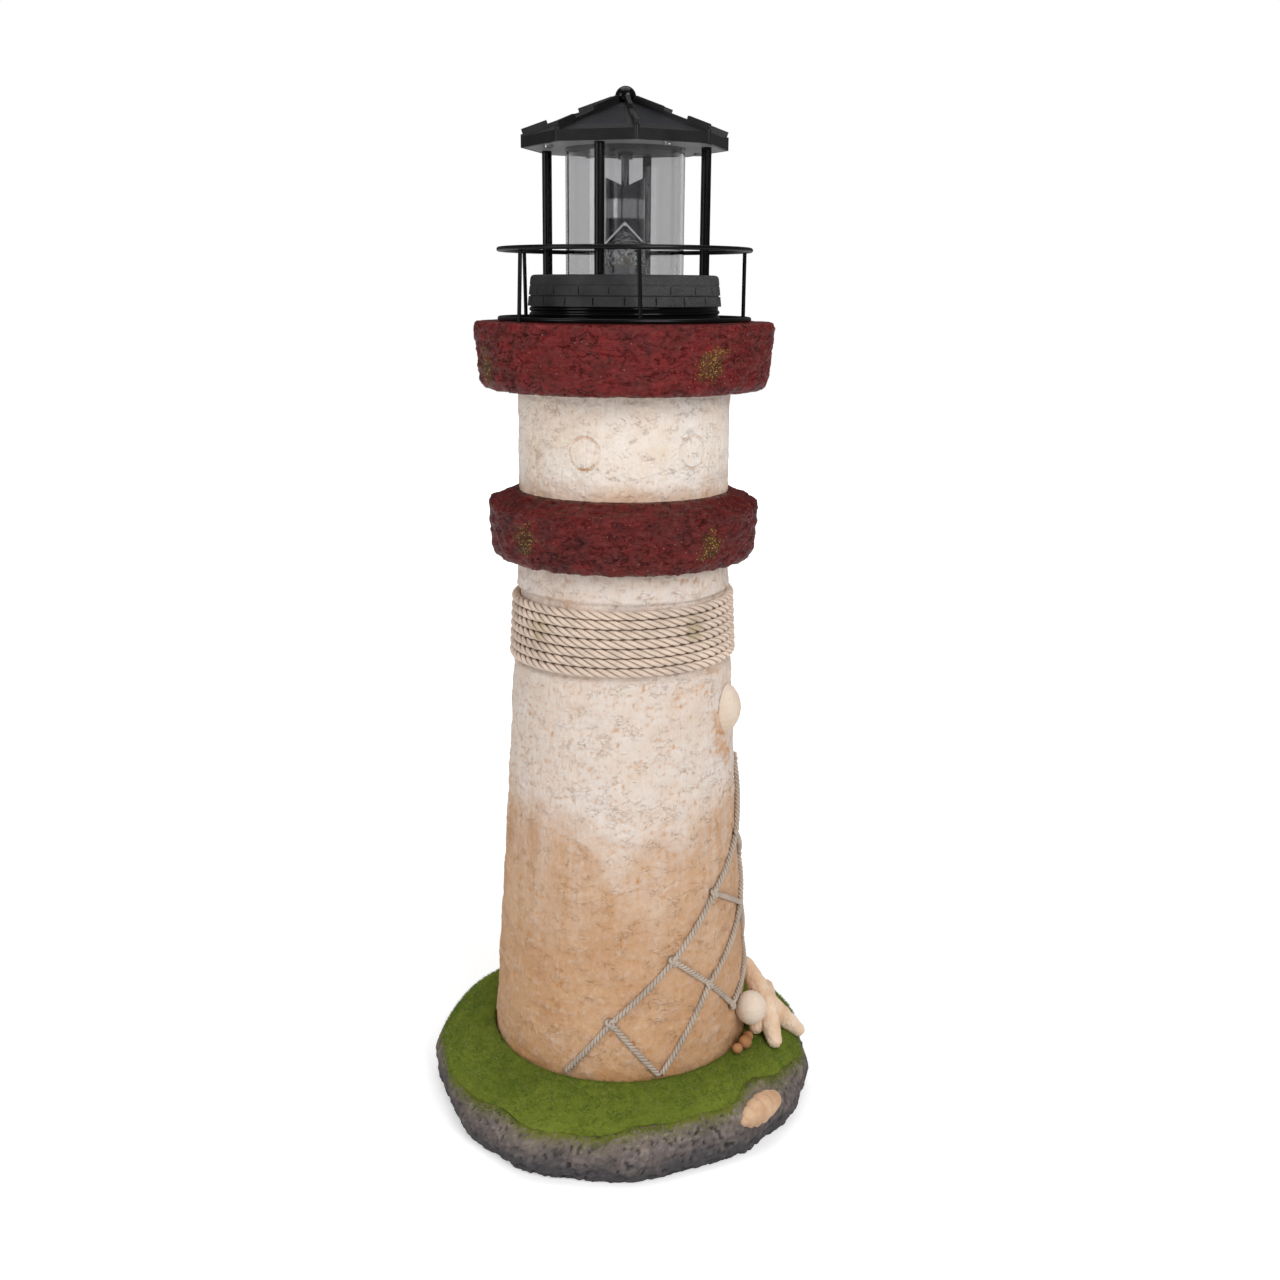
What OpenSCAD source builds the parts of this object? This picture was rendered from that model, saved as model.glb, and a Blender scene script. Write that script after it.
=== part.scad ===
// Garden lighthouse ornament: a hollow cast tower on a rock, with a rope band, a draped net,
// a starfish and pebbles, and a solar lantern with a turning reflector in its top.
// Azimuths are measured from the front (-Y) towards the right (+X), in degrees.
// The origin is the centre of the underside, on the axis of the tower.

/* [Rock base] */
// Mean outer radius of the rock slab
base_r = 130; // [124:1:150]
// Height of the rock where the tower stands on it
base_h = 44; // [34:1:60]
// Height of the widest part of the rock
base_bulge_z = 15; // [10:1:20]
// Radius of the open underside
base_bore_r = 70; // [50:1:74]
// How deep the foot of the tower is let into the rock
foot_seat = 12; // [6:1:16]
// Thickness of the moss layer
moss_t = 1.8; // [1:0.1:4]

/* [Tower] */
// Radius of the tower at its foot
foot_r = 86.5; // [80:0.5:92]
// Radius of the tower under the lower ring
shaft_top_r = 67; // [62:0.5:72]
// Height of the tapered shaft
shaft_h = 341; // [280:1:420]
// How strongly the shaft flares at its foot, where 1 is straight
shaft_flare = 1.12; // [1:0.02:1.5]
// Wall of the castings
wall = 12; // [9:0.5:14]
// Radius of the lower red ring
lower_ring_r = 85; // [78:0.5:95]
// Height of the lower red ring
lower_ring_h = 36.7; // [26:0.1:50]
// How much higher the lower ring stands at the drum than at its rim
lower_ring_rise = 6.5; // [1:0.5:10]
// Radius of the drum between the rings
drum_r = 66; // [63:0.5:72]
// Height of the drum
drum_h = 68; // [50:1:90]
// Number of portholes round the drum
portholes = 6; // [4:1:8]
// Outer diameter of a porthole
porthole_d = 21; // [14:0.5:28]
// Width of the engraved porthole line
porthole_line = 1.8; // [1:0.1:3]
// Depth of the engraved porthole line
porthole_depth = 1.2; // [0.6:0.1:2]
// Radius of the upper red ring at its rim
upper_ring_r = 92.3; // [84:0.1:100]
// Height of the upper red ring
upper_ring_h = 40.5; // [34:0.5:55]

/* [Rope band] */
// Diameter of the rope
rope_d = 5.4; // [4:0.1:5.4]
// Height from one turn to the next
rope_pitch = 5.9; // [5.9:0.1:7]
// Number of turns
rope_turns = 7; // [4:1:9]
// Distance from the lower red ring down to the rope
rope_drop = 19.7; // [10:0.1:60]
// How deep the rope is sunk into the shaft
rope_sink = 2.4; // [1:0.1:3]

/* [Net and relief] */
// Width of a net cord
cord_w = 3.2; // [2:0.1:4]
// Thickness of a net cord
cord_t = 2.2; // [1.5:0.1:3]
// Diameter of a net knot
knot_d = 5; // [4:0.1:6]
// Length of a starfish arm
star_arm = 30; // [22:1:34]
// Height of the pebble on the shaft
pebble_h = 36; // [28:1:44]

/* [Gallery rail] */
// Radius of the rail rings, at the middle of the wire
rail_r = 76.5; // [72:0.5:80]
// Height of the top rail over the upper ring
rail_h = 42.3; // [30:0.5:55]
// Diameter of the ring wire
rail_wire_d = 2.8; // [2:0.1:4]
// Diameter of the uprights
upright_d = 2.4; // [1.6:0.1:3]

/* [Lantern base] */
// Radius of the screw neck
neck_r = 57.5; // [55:0.5:58]
// Height of neck that shows above the upper ring
neck_gap = 9.2; // [4:0.2:14]
// Depth of the neck in its socket
neck_depth = 14.5; // [12:0.5:18]
// Radius of the brick ring at its foot
brick_r = 59.4; // [58.8:0.1:62]
// Height of the brick ring
brick_h = 18.3; // [15:0.3:24]
// Bricks in one course
bricks = 20; // [12:1:28]
// Wall of the plastic housing
housing_wall = 7.5; // [6:0.5:8]
// Thickness of the deck over the battery room
deck_t = 4; // [3:0.5:6]

/* [Lantern head] */
// Height from the deck to the roof plate
post_h = 72.8; // [60:0.2:85]
// Diameter of a post
post_d = 6; // [5:0.2:8]
// Radius of the circle on which the posts stand
post_circle_r = 50; // [46:0.5:52]
// Outer radius of the glass tube
glass_r = 35.9; // [30:0.1:40]
// Wall of the glass tube
glass_wall = 2; // [1.5:0.1:2.5]
// Radius of the eaves, to the corners
eave_r = 62.5; // [60:0.5:70]
// Height of the fascia
fascia_h = 6.1; // [4:0.1:9]
// Rise of the roof from the fascia to the crown
roof_rise = 19.8; // [14:0.2:30]
// Wall of the roof
roof_wall = 2.5; // [2:0.1:3]
// Diameter of the ball on the roof
ball_d = 12.6; // [9:0.2:16]

/* [Light and drive] */
// Diameter of the clear bulb
bulb_d = 25; // [18:0.5:28]
// Height of the clear bulb, to its blunt tip
bulb_h = 24; // [22:0.5:27]
// Height of the bulb holder
holder_h = 5; // [3:0.5:6]
// Diameter of the turning reflector
reflector_d = 24; // [18:0.5:30]
// Distance from the roof plate down to the reflector
reflector_drop = 16.2; // [12:0.1:20]
// Diameter of the drive spindle
spindle_d = 4.8; // [3:0.1:6]
// Diameter of the motor
motor_d = 24; // [16:0.5:28]
// Diameter of the battery cell
battery_d = 14.3; // [12:0.1:15]
// Length of the battery cell, without its nub
battery_l = 48.5; // [40:0.5:50]
// Travel of the switch
switch_travel = 3; // [2:0.2:4]

/* [Hidden] */
$fn = 96;

// Clearances: between laid-on pieces, between snug parts, and of the spindle in its motor
seat_gap = 0.3;
snug = 0.2;
running_gap = 0.05;

// Heights of the stack, from the floor up
shaft_z = base_h - foot_seat;
lower_ring_z = shaft_z + shaft_h;
drum_z = lower_ring_z + lower_ring_h;
upper_ring_z = drum_z + drum_h;
gallery_z = upper_ring_z + upper_ring_h;
flange_z = gallery_z + neck_gap;
neck_z = gallery_z - neck_depth;
deck_z = flange_z + brick_h;
ceiling_z = deck_z + post_h;
eave_z = ceiling_z + fascia_h;
crown_z = eave_z + roof_rise;

// Rock and moss
rock_sides = 72;
rock_inner_r = foot_r - 3;
rock_round = 0.8;
foot_lip = 0.8;
foot_inset = 14;
moss_inner_t = 0.968;
shell_azimuth = 47;

// Rings and drum
ring_edge = 3.5;
ring_foot_edge = 9;
lower_ring_taper = 1.6;
upper_ring_taper = 2.8;
porthole_azimuth = -21;
porthole_z = drum_z + drum_h / 2;

// Rope
rope_sides = 6;
rope_steps = 24;
rope_top_z = lower_ring_z - rope_drop;
rope_low_z = rope_top_z - rope_turns * rope_pitch - rope_d - 2 * seat_gap;
rope_start_azimuth = 150;

// Gallery rail: azimuth at the top, azimuth at the foot, and how far the foot stands out
uprights = [[6, 7, 0], [103, 103, 0], [178, 180, 0], [237, 236, 0], [308, 309, 2.6]];
upright_seat = 8;

// Net: rows of knots as azimuth and height, from the corner that it hangs from
net_foot_z = base_h + moss_t + 2 * seat_gap + cord_w / 2;
net_knots = [
    [[97, 232], [118, 200], [140, 162], [163, 122], [185, 84], [203, net_foot_z]],
    [[73, 191], [96, 164], [118, 128], [140, 88], [160, net_foot_z]],
    [[48, 162], [77, 139], [97, 100], [117, net_foot_z]],
    [[24, 125], [43, 102], [60, 77]],
    [[-4, 86], [17, net_foot_z]],
    [[-24, net_foot_z]]
];
net_steps = 6;

// Starfish: its centre and the ways of its five arms, in arm lengths, leaning on the foot of the tower
star_centre = [base_r - 31, -15, base_h + 19.7];
star_ways = [
    [-0.37, 0.67, 0.59], [-0.23, -0.4, -0.42], [0.17, -0.73, -0.57], [0.82, 0.3, -0.88], [0.13, 0.93, -0.13]
];
star_root_r = 7.2;
star_tip_r = 5.4;

// Socket and lantern base
collar_wall = 4;
collar_floor = 3;
collar_z = neck_z - seat_gap - collar_floor;
neck_clear = 0.5;
collar_ledge = 5;
socket_r = neck_r + neck_clear + collar_wall;
room_r = neck_r - housing_wall;
room_top_z = deck_z - deck_t;
cover_t = 2.5;
cover_lip = 1.5;
cover_z = neck_z + 0.5;
cover_top_z = cover_z + cover_t;
cover_screw_r = room_r - 6;
cover_screw_azimuths = [30, 150, 270];
screw_d = 3;
screw_boss_d = 7;
seal_t = 1.8;
courses = 3;
joint_w = 0.9;
joint_depth = 0.6;

// Battery room
tray_y = 22;
tray_t = 1.5;
contact_t = 0.5;
spring_l = 1.5;
nub_l = 1;
tray_l = battery_l + nub_l + spring_l + 2 * contact_t;
tray_w = battery_d + 2;
battery_z = cover_top_z + tray_t + battery_d / 2 + seat_gap;
board_size = [38, 28, 1.6];
board_y = -12;
board_z = room_top_z - 12;
board_top_z = board_z + board_size[2];
board_post_inset = 4;
switch_y = -34;
switch_size = [13, 6, 5];
knob_size = [3.4, 3, 7];
knob_drop = 3;

// Head
post_azimuths = [-17, 73, 163, 253];
post_flutes = 8;
flute_d = 1.2;
spigot_d = 3.2;
spigot_l = 2.2;
wire_d = 1.6;
glass_sink = 1.2;
plate_t = 2.8;
plate_top_z = ceiling_z + plate_t;
roof_corner = 5.9;
crown_r = 7;
roof_pitch = atan(roof_rise / ((eave_r - crown_r) * cos(22.5)));
hip_w = 2.6;
hip_h = 1.8;
hip_block_h = 4;
cell_t = 0.8;
ball_sink = 2.8;
finial_seat_d = 2 * sqrt(ball_sink * (ball_d - ball_sink));
finial_peg_l = 2.5;
ceiling_screw_r = 51;
ceiling_screw_azimuth = 28.4;
cell_wire_r = 40;
cell_wire_z = eave_z + tan(roof_pitch) * (eave_r * cos(22.5) - cell_wire_r - wire_d / 2)
    - cell_t / cos(roof_pitch);
wire_exit_z = room_top_z - 2;
spindle_top_z = plate_top_z + 9;
motor_h = 12;
collar_d = 8.8;
collar_h = 4;
hub_d = 16;
hub_h = 1.5;
lens_tip_r = 1;
lens_tip_z = deck_z + holder_h + bulb_h;
reflector_gap = 1;
reflector_seat = 8;
reflector_top_z = ceiling_z - reflector_drop;
reflector_z = lens_tip_z + lens_tip_r + reflector_gap - reflector_d / 2;
reflector_h = reflector_top_z - reflector_z;
notch_top = 6;
spindle_z = reflector_top_z - notch_top - reflector_seat;

// Points of an arc from angle a to angle b
function arc(c, r, a, b, n) = [for (i = [0:n]) c + r * [cos(a + (b - a) * i / n), sin(a + (b - a) * i / n)]];

// A place at an azimuth, a radius and a height
function place(azimuth, r, z) = [r * sin(azimuth), -r * cos(azimuth), z];

// Outer radius of the shaft at a height
function shaft_r(z) =
    let (share = min(1, (lower_ring_z - z) / (lower_ring_z - base_h)))
    shaft_top_r + (foot_r - shaft_top_r) * pow(share, shaft_flare);

// The middle of a ring of points
function middle(ring) = [for (p = ring) 1] * ring / len(ring);

// A solid through rings of points, closed on itself or capped at its ends
module loft(rings, closed = false) {
    n = len(rings[0]);
    m = len(rings);
    last = (m - 1) * n;
    spans = closed ? m : m - 1;
    sides = [for (i = [0:spans - 1]) for (j = [0:n - 1])
        let (k = (j + 1) % n, i2 = (i + 1) % m)
        each [[i * n + j, i * n + k, i2 * n + k], [i * n + j, i2 * n + k, i2 * n + j]]];
    caps = [for (j = [0:n - 1])
        let (k = (j + 1) % n)
        each [[m * n, k, j], [m * n + 1, last + j, last + k]]];
    points = [for (ring = rings) each ring];
    middles = [middle(rings[0]), middle(rings[m - 1])];
    if (closed)
        polyhedron(points = points, faces = sides);
    else
        polyhedron(points = concat(points, middles), faces = concat(sides, caps));
}

// Turns children that face the front to an azimuth
module at_azimuth(azimuth, r = 0, z = 0) {
    rotate([0, 0, azimuth])
        translate([0, -r, z])
            children();
}

// ---- Rock base and moss ----

// Outer radius of the rock at its widest, a lobed outline
function rock_edge(azimuth) =
    base_r + 3 * cos(3 * (azimuth + 20)) - 2.2 * cos(5 * (azimuth + 58)) + 0.8 * sin(11 * azimuth);

// Low lumps of the rock, which fade out at the tower's foot
function rock_lump(azimuth, t) =
    (1 - t) * (1.1 * sin(6 * azimuth + 300 * t) + 0.8 * sin(13 * azimuth + 500 * t + 40));

// A point of the rock's upper surface, from the widest line (t = 0) to the tower's foot (t = 1)
function rock_point(azimuth, t, lift = 0) =
    let (
        out = lift + rock_lump(azimuth, t),
        r = rock_inner_r + (rock_edge(azimuth) - rock_inner_r) * pow(cos(90 * t), rock_round),
        z = base_bulge_z + (base_h - base_bulge_z) * pow(sin(90 * t), 1.1)
    )
    place(azimuth, r + out * cos(90 * t), z + out * sin(90 * t));

// How far up the rock's upper surface (t) it has a given radius
function rock_share(azimuth, r) =
    acos(pow((r - rock_inner_r) / (rock_edge(azimuth) - rock_inner_r), 1 / rock_round)) / 90;

// A ring of points round the rock below its widest line
function rock_low_ring(z, inset) = [for (i = [0:rock_sides - 1])
    let (azimuth = 360 * i / rock_sides)
    place(azimuth, rock_edge(azimuth) + rock_lump(azimuth, 0) - inset, z)];

// The rock as a closed body with its upper surface lifted
module rock_body(lift = 0) {
    loft(concat(
        [for (t = [1, 0.85, 0.7, 0.55, 0.4, 0.25, 0.12, 0])
            [for (i = [0:rock_sides - 1]) rock_point(360 * i / rock_sides, t, lift)]],
        [rock_low_ring(7, 1.4 - lift), rock_low_ring(foot_lip, 4.5 - lift)]
    ));
}

module rock_base() {
    color([0.34, 0.33, 0.33])
        difference() {
            union() {
                rock_body();
                cylinder(r = base_r - foot_inset, h = base_bulge_z);
            }
            translate([0, 0, -1])
                cylinder(r = base_bore_r, h = base_h + 2);
            translate([0, 0, shaft_z])
                cylinder(r = foot_r, h = foot_seat + 1);
        }
}

// Where the moss ends on the rock, an uneven line that goes round the shell
function moss_edge(azimuth) =
    0.4 + 0.05 * sin(2 * azimuth + 60) + 0.04 * sin(7 * azimuth) + 0.025 * sin(17 * azimuth)
    + 0.22 * exp(-pow((azimuth - shell_azimuth) / 13, 2));

module moss() {
    steps = 6;
    thin_edge = 0.4;
    color([0.25, 0.42, 0.06])
        loft([for (i = [0:rock_sides - 1])
            let (azimuth = 360 * i / rock_sides, t0 = moss_edge(azimuth))
            concat(
                [for (k = [0:steps])
                    rock_point(azimuth, t0 + (moss_inner_t - t0) * k / steps,
                               seat_gap + moss_t * (k == 0 ? thin_edge : 1))],
                [for (k = [steps:-1:0]) rock_point(azimuth, t0 + (moss_inner_t - t0) * k / steps, seat_gap)]
            )], closed = true);
}

// ---- Castings of the tower ----

module tower_shaft() {
    steps = 10;
    top_steps = 3;
    bore_foot_r = base_bore_r;
    bore_top_r = shaft_top_r - wall;
    color([0.86, 0.77, 0.68])
        rotate_extrude()
            polygon(concat(
                [[bore_foot_r, shaft_z]],
                [for (i = [0:steps]) let (z = shaft_z + (rope_low_z - shaft_z) * i / steps) [shaft_r(z), z]],
                [for (i = [0:top_steps])
                    let (z = rope_low_z + 0.1 + (rope_top_z - rope_low_z - 0.2) * i / top_steps)
                    [shaft_r(z) - rope_sink, z]],
                [for (i = [0:top_steps])
                    let (z = rope_top_z + (lower_ring_z - rope_top_z) * i / top_steps) [shaft_r(z), z]],
                [[bore_top_r, lower_ring_z]]
            ));
}

// Section of a cast ring, which narrows by a taper to its rounded foot and may rise round the drum
module ring_section(r, taper, z, h, rise = 0) {
    bore = drum_r - wall;
    drum_seat_r = drum_r + seat_gap;
    polygon(concat(
        [[bore, z]],
        arc([r - taper - ring_foot_edge, z + ring_foot_edge], ring_foot_edge, -90, 0, 6),
        arc([r - ring_edge, z + h - ring_edge], ring_edge, 0, 90, 6),
        rise > 0 ? [[drum_seat_r, z + h + rise], [drum_seat_r, z + h]] : [],
        [[bore, z + h]]
    ));
}

module lower_ring() {
    color([0.43, 0.13, 0.14])
        rotate_extrude()
            ring_section(lower_ring_r, lower_ring_taper, lower_ring_z, lower_ring_h, lower_ring_rise);
}

module tower_drum() {
    color([0.91, 0.87, 0.81])
        difference() {
            translate([0, 0, drum_z])
                difference() {
                    cylinder(r = drum_r, h = drum_h);
                    translate([0, 0, -1])
                        cylinder(r = drum_r - wall, h = drum_h + 2);
                }
            for (i = [0:portholes - 1])
                at_azimuth(porthole_azimuth + 360 * i / portholes, drum_r - porthole_depth, porthole_z)
                    rotate([90, 0, 0])
                        difference() {
                            cylinder(d = porthole_d, h = 10);
                            translate([0, 0, -1])
                                cylinder(d = porthole_d - 2 * porthole_line, h = 12);
                        }
        }
}

module upper_ring() {
    color([0.43, 0.13, 0.14])
        difference() {
            rotate_extrude()
                ring_section(upper_ring_r, upper_ring_taper, upper_ring_z, upper_ring_h);
            translate([0, 0, collar_z])
                cylinder(r = socket_r, h = gallery_z - collar_z + 1);
            for (u = uprights)
                translate(upright_point(u, upright_seat / 2) - [0, 0, upright_seat / 2 + seat_gap])
                    cylinder(d = upright_d + 2 * seat_gap, h = upright_seat + 2, $fn = 24);
        }
}

// ---- Relief: rope, net, starfish, pebbles ----

// Middle radius of the rope at a height
function rope_r(z) = shaft_r(z) - rope_sink + seat_gap + rope_d / 2;

// A ring of the rope, moved straight along its run
function rope_ring(azimuth, z, along = 0) = [for (k = [0:rope_sides - 1])
    let (a = 90 + 360 * k / rope_sides)
    place(azimuth, rope_r(z) + rope_d / 2 * cos(a), z + rope_d / 2 * sin(a))
        + along * [cos(azimuth), sin(azimuth), 0]];

rope_rings = let (n = rope_turns * rope_steps, z0 = rope_low_z + rope_d / 2 + seat_gap) concat(
    [rope_ring(rope_start_azimuth, z0, -rope_d)],
    [for (i = [0:n]) rope_ring(rope_start_azimuth + 360 * i / rope_steps, z0 + rope_pitch * i / rope_steps)],
    [rope_ring(rope_start_azimuth + 360 * n / rope_steps, z0 + rope_pitch * n / rope_steps, rope_d)]
);
rope_gap = min([for (i = [1:len(rope_rings) - 2 - rope_steps]) for (p = rope_rings[i])
    for (q = rope_rings[i + rope_steps]) norm(p - q)]);
echo("least gap of the rope to itself in mm", rope_gap);

module rope_band() {
    color([0.72, 0.66, 0.58])
        loft(rope_rings);
}

// Points of a net cord along its knots
function cord_points(knots) = [for (i = [0:(len(knots) - 1) * net_steps])
    let (
        from = min(floor(i / net_steps), len(knots) - 2),
        p = knots[from] + (knots[from + 1] - knots[from]) * (i / net_steps - from)
    )
    place(p[0], shaft_r(p[1]) + seat_gap + cord_t / 2, p[1])];

// Rings of a net cord, flattened against the shaft
function cord_rings(points) = [for (i = [0:len(points) - 1])
    let (
        run = points[min(i + 1, len(points) - 1)] - points[max(i - 1, 0)],
        out = [points[i][0], points[i][1], 0] / norm([points[i][0], points[i][1]]),
        side = cross(out, run) / norm(cross(out, run))
    )
    [for (k = [0:5]) points[i] + cord_t / 2 * cos(60 * k) * out + cord_w / 2 * sin(60 * k) * side]];

module net_cord(knots) {
    loft(cord_rings(cord_points(knots)));
}

module net() {
    color([0.55, 0.51, 0.48])
        union() {
            for (row = net_knots)
                if (len(row) > 1)
                    net_cord(row);
            for (column = [0:3])
                net_cord([for (row = net_knots) if (len(row) > column) row[column]]);
            for (row = net_knots)
                for (knot = row)
                    if (knot[1] > net_foot_z)
                        at_azimuth(knot[0], shaft_r(knot[1]) + seat_gap + knot_d / 2, knot[1])
                            hull()
                                for (side = [-1, 1])
                                    translate([0, 0, side * knot_d / 8])
                                        sphere(d = knot_d * 0.9, $fn = 8);
        }
}

// The rough space of the shaft with a clearance, to seat laid-on pieces
module shaft_space(gap) {
    steps = 12;
    rotate_extrude()
        polygon(concat(
            [[0, shaft_z]],
            [for (i = [0:steps]) let (z = shaft_z + shaft_h * i / steps) [shaft_r(z) + gap, z]],
            [[0, lower_ring_z]]
        ));
}

module starfish() {
    mid = 0.5;
    color([0.85, 0.74, 0.62])
        difference() {
            translate(star_centre)
                for (arm = star_ways) {
                    way = arm * star_arm;
                    hull() {
                        sphere(r = star_root_r + 1, $fn = 16);
                        translate(way * mid)
                            sphere(r = star_root_r, $fn = 16);
                    }
                    hull() {
                        translate(way * mid)
                            sphere(r = star_root_r, $fn = 16);
                        translate(way)
                            sphere(r = star_tip_r, $fn = 16);
                    }
                }
            shaft_space(seat_gap);
            rock_body(seat_gap + moss_t + seat_gap);
        }
}

// A round pebble of a given length and thickness, along Z
module spheroid(length, width) {
    rotate_extrude()
        polygon([for (i = [0:12]) let (a = -90 + 15 * i) [width / 2 * cos(a), length / 2 * sin(a)]]);
}

// Azimuth and diameter of each stone, which stands on the moss clear of the net
module foot_pebbles() {
    stones = [[56, 7], [61.5, 9], [67, 7]];
    color([0.72, 0.55, 0.42])
        for (s = stones)
            let (r = foot_r + 2 * seat_gap + cord_t + s[1] / 2)
            translate(rock_point(s[0], rock_share(s[0], r), 2 * seat_gap + moss_t + s[1] / 2))
                sphere(d = s[1], $fn = 32);
}

// Two smooth stones let into the shaft, one high up and one beside the starfish: azimuth, radius to
// the middle, height, length and width
module tower_pebble() {
    high_z = lower_ring_z - 96;
    stones = [[70, shaft_r(high_z) - 7, high_z, pebble_h, 31], [68.2, foot_r + 7.8, base_h + 26, 23, 21]];
    color([0.88, 0.82, 0.74])
        difference() {
            for (s = stones)
                at_azimuth(s[0], s[1], s[2])
                    spheroid(s[3], s[4]);
            shaft_space(seat_gap / 3);
        }
}

module base_pebble() {
    z = 21.5;
    size = [44, 17, 24];
    ribs = 9;
    color([0.85, 0.63, 0.47])
        difference() {
            at_azimuth(shell_azimuth, rock_edge(shell_azimuth) - 8, z)
                rotate([25, 0, 0])
                    for (i = [0:ribs - 1])
                        let (a = -80 + 160 * i / (ribs - 1), x = size[0] / 2 * sin(a), w = cos(a))
                        hull() {
                            translate([x * 0.85, 0, size[2] * 0.28 * w])
                                sphere(r = size[1] / 2 * max(0.3, w), $fn = 14);
                            translate([x * 0.7, 0, -size[2] * 0.3 * w])
                                sphere(r = size[1] / 2 * max(0.25, w * 0.9), $fn = 14);
                        }
            rock_body(seat_gap);
            rotate_extrude()
                square([base_r - 12, base_h]);
        }
}

// ---- Gallery rail and socket ----

// The middle of an upright at a height over its foot
function upright_point(u, h) =
    let (share = h / (upright_seat + rail_h))
    place(u[1] + (u[0] - u[1]) * share, rail_r + u[2] * (1 - share), gallery_z - upright_seat + h);

// An upright from its seat in the upper ring to the top rail
module upright(u) {
    foot = upright_point(u, 0);
    way = upright_point(u, upright_seat + rail_h) - foot;
    translate(foot)
        rotate([0, acos(way[2] / norm(way)), atan2(way[1], way[0])])
            cylinder(d = upright_d, h = norm(way), $fn = 24);
}

module rail_ring(z) {
    translate([0, 0, z])
        rotate_extrude()
            translate([rail_r, 0])
                circle(d = rail_wire_d, $fn = 24);
}

module gallery_rail() {
    color([0.1, 0.1, 0.11])
        union() {
            rail_ring(gallery_z + rail_h);
            rail_ring(gallery_z + seat_gap + rail_wire_d / 2);
            for (u = uprights)
                upright(u);
        }
}

module socket_collar() {
    color([0.08, 0.08, 0.09])
        translate([0, 0, collar_z])
            difference() {
                cylinder(r = socket_r, h = gallery_z - collar_z);
                translate([0, 0, collar_floor])
                    cylinder(r = neck_r + neck_clear, h = neck_depth + 1);
                translate([0, 0, -1])
                    cylinder(r = neck_r - collar_ledge, h = collar_floor + 2);
            }
}

// ---- Lantern base ----

// Grooves of the brick courses and the upright joints between bricks
module brick_joints() {
    course_h = brick_h / courses;
    for (k = [1:courses - 1])
        translate([0, 0, flange_z + k * course_h - joint_w / 2])
            difference() {
                cylinder(r = brick_r + 2, h = joint_w);
                translate([0, 0, -1])
                    cylinder(r = brick_r - 1 - joint_depth, h = joint_w + 2);
            }
    for (k = [0:courses - 1])
        for (i = [0:bricks - 1])
            at_azimuth(360 * (i + k % 2 / 2) / bricks, brick_r, flange_z + (k + 0.5) * course_h)
                translate([-joint_w / 2, -1, -course_h / 2 + joint_w])
                    cube([joint_w, 2 + joint_depth, course_h - 2 * joint_w]);
}

module lantern_base() {
    brick_top_r = brick_r - 1.7;
    top_edge = 2.5;
    color([0.16, 0.16, 0.18])
        difference() {
            union() {
                difference() {
                    rotate_extrude()
                        polygon(concat(
                            [[room_r, neck_z], [neck_r, neck_z], [neck_r, flange_z], [brick_r, flange_z]],
                            arc([brick_top_r - top_edge, deck_z - top_edge], top_edge, 0, 90, 5),
                            [[0, deck_z], [0, room_top_z], [room_r - cover_lip, room_top_z]],
                            [[room_r - cover_lip, cover_top_z], [room_r, cover_top_z]]
                        ));
                    brick_joints();
                }
                for (a = cover_screw_azimuths)
                    translate(place(a, cover_screw_r, cover_top_z))
                        cylinder(d = screw_boss_d, h = room_top_z - cover_top_z + 1);
                for (x = [-1, 1] * (board_size[0] / 2 - board_post_inset))
                    for (y = [-1, 1] * (board_size[1] / 2 - board_post_inset))
                        translate([x, board_y + y, board_top_z])
                            cylinder(d = 5, h = room_top_z - board_top_z + 1);
            }
            for (a = cover_screw_azimuths)
                translate(place(a, cover_screw_r, cover_top_z - 1))
                    cylinder(d = screw_d, h = 13, $fn = 32);
            for (a = post_azimuths)
                translate(place(a, post_circle_r, deck_z - spigot_l - seat_gap))
                    cylinder(d = spigot_d, h = spigot_l + 1, $fn = 32);
            translate(place(post_azimuths[2], post_circle_r, wire_exit_z))
                cylinder(d = wire_d + 2 * snug, h = deck_z - wire_exit_z + 1, $fn = 32);
            at_azimuth(post_azimuths[2], post_circle_r + wire_d, wire_exit_z - wire_d)
                translate([-wire_d, 0, 0])
                    cube([2 * wire_d, post_circle_r - room_r + cover_lip + 2 * wire_d, 2 * wire_d]);
            translate([0, 0, deck_z - glass_sink])
                glass_seat(glass_sink + 1);
        }
}

// The round groove that takes an edge of the glass tube
module glass_seat(h) {
    difference() {
        cylinder(r = glass_r + snug, h = h);
        translate([0, 0, -1])
            cylinder(r = glass_r - glass_wall - snug, h = h + 2);
    }
}

module seal_ring() {
    color([0.05, 0.05, 0.05])
        translate([0, 0, gallery_z])
            difference() {
                cylinder(r = socket_r, h = seal_t);
                translate([0, 0, -1])
                    cylinder(r = neck_r + neck_clear, h = seal_t + 2);
            }
}

module battery_cover() {
    slot = [knob_size[0] + switch_travel + 2 * snug, knob_size[1] + 2 * snug];
    color([0.1, 0.1, 0.11])
        difference() {
            translate([0, 0, cover_z])
                cylinder(r = room_r - snug, h = cover_t);
            for (a = cover_screw_azimuths)
                translate(place(a, cover_screw_r, cover_z - 1))
                    cylinder(d = screw_d, h = cover_t + 2, $fn = 32);
            translate([-slot[0] / 2, switch_y - slot[1] / 2, cover_z - 1])
                cube([slot[0], slot[1], cover_t + 2]);
        }
}

module cover_screws() {
    head_d = 5.6;
    head_h = 1.8;
    color([0.7, 0.7, 0.7])
        for (a = cover_screw_azimuths)
            translate(place(a, cover_screw_r, cover_z)) {
                cylinder(d = screw_d, h = 13, $fn = 32);
                translate([0, 0, -head_h])
                    cylinder(d = head_d, h = head_h, $fn = 32);
            }
}

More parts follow.
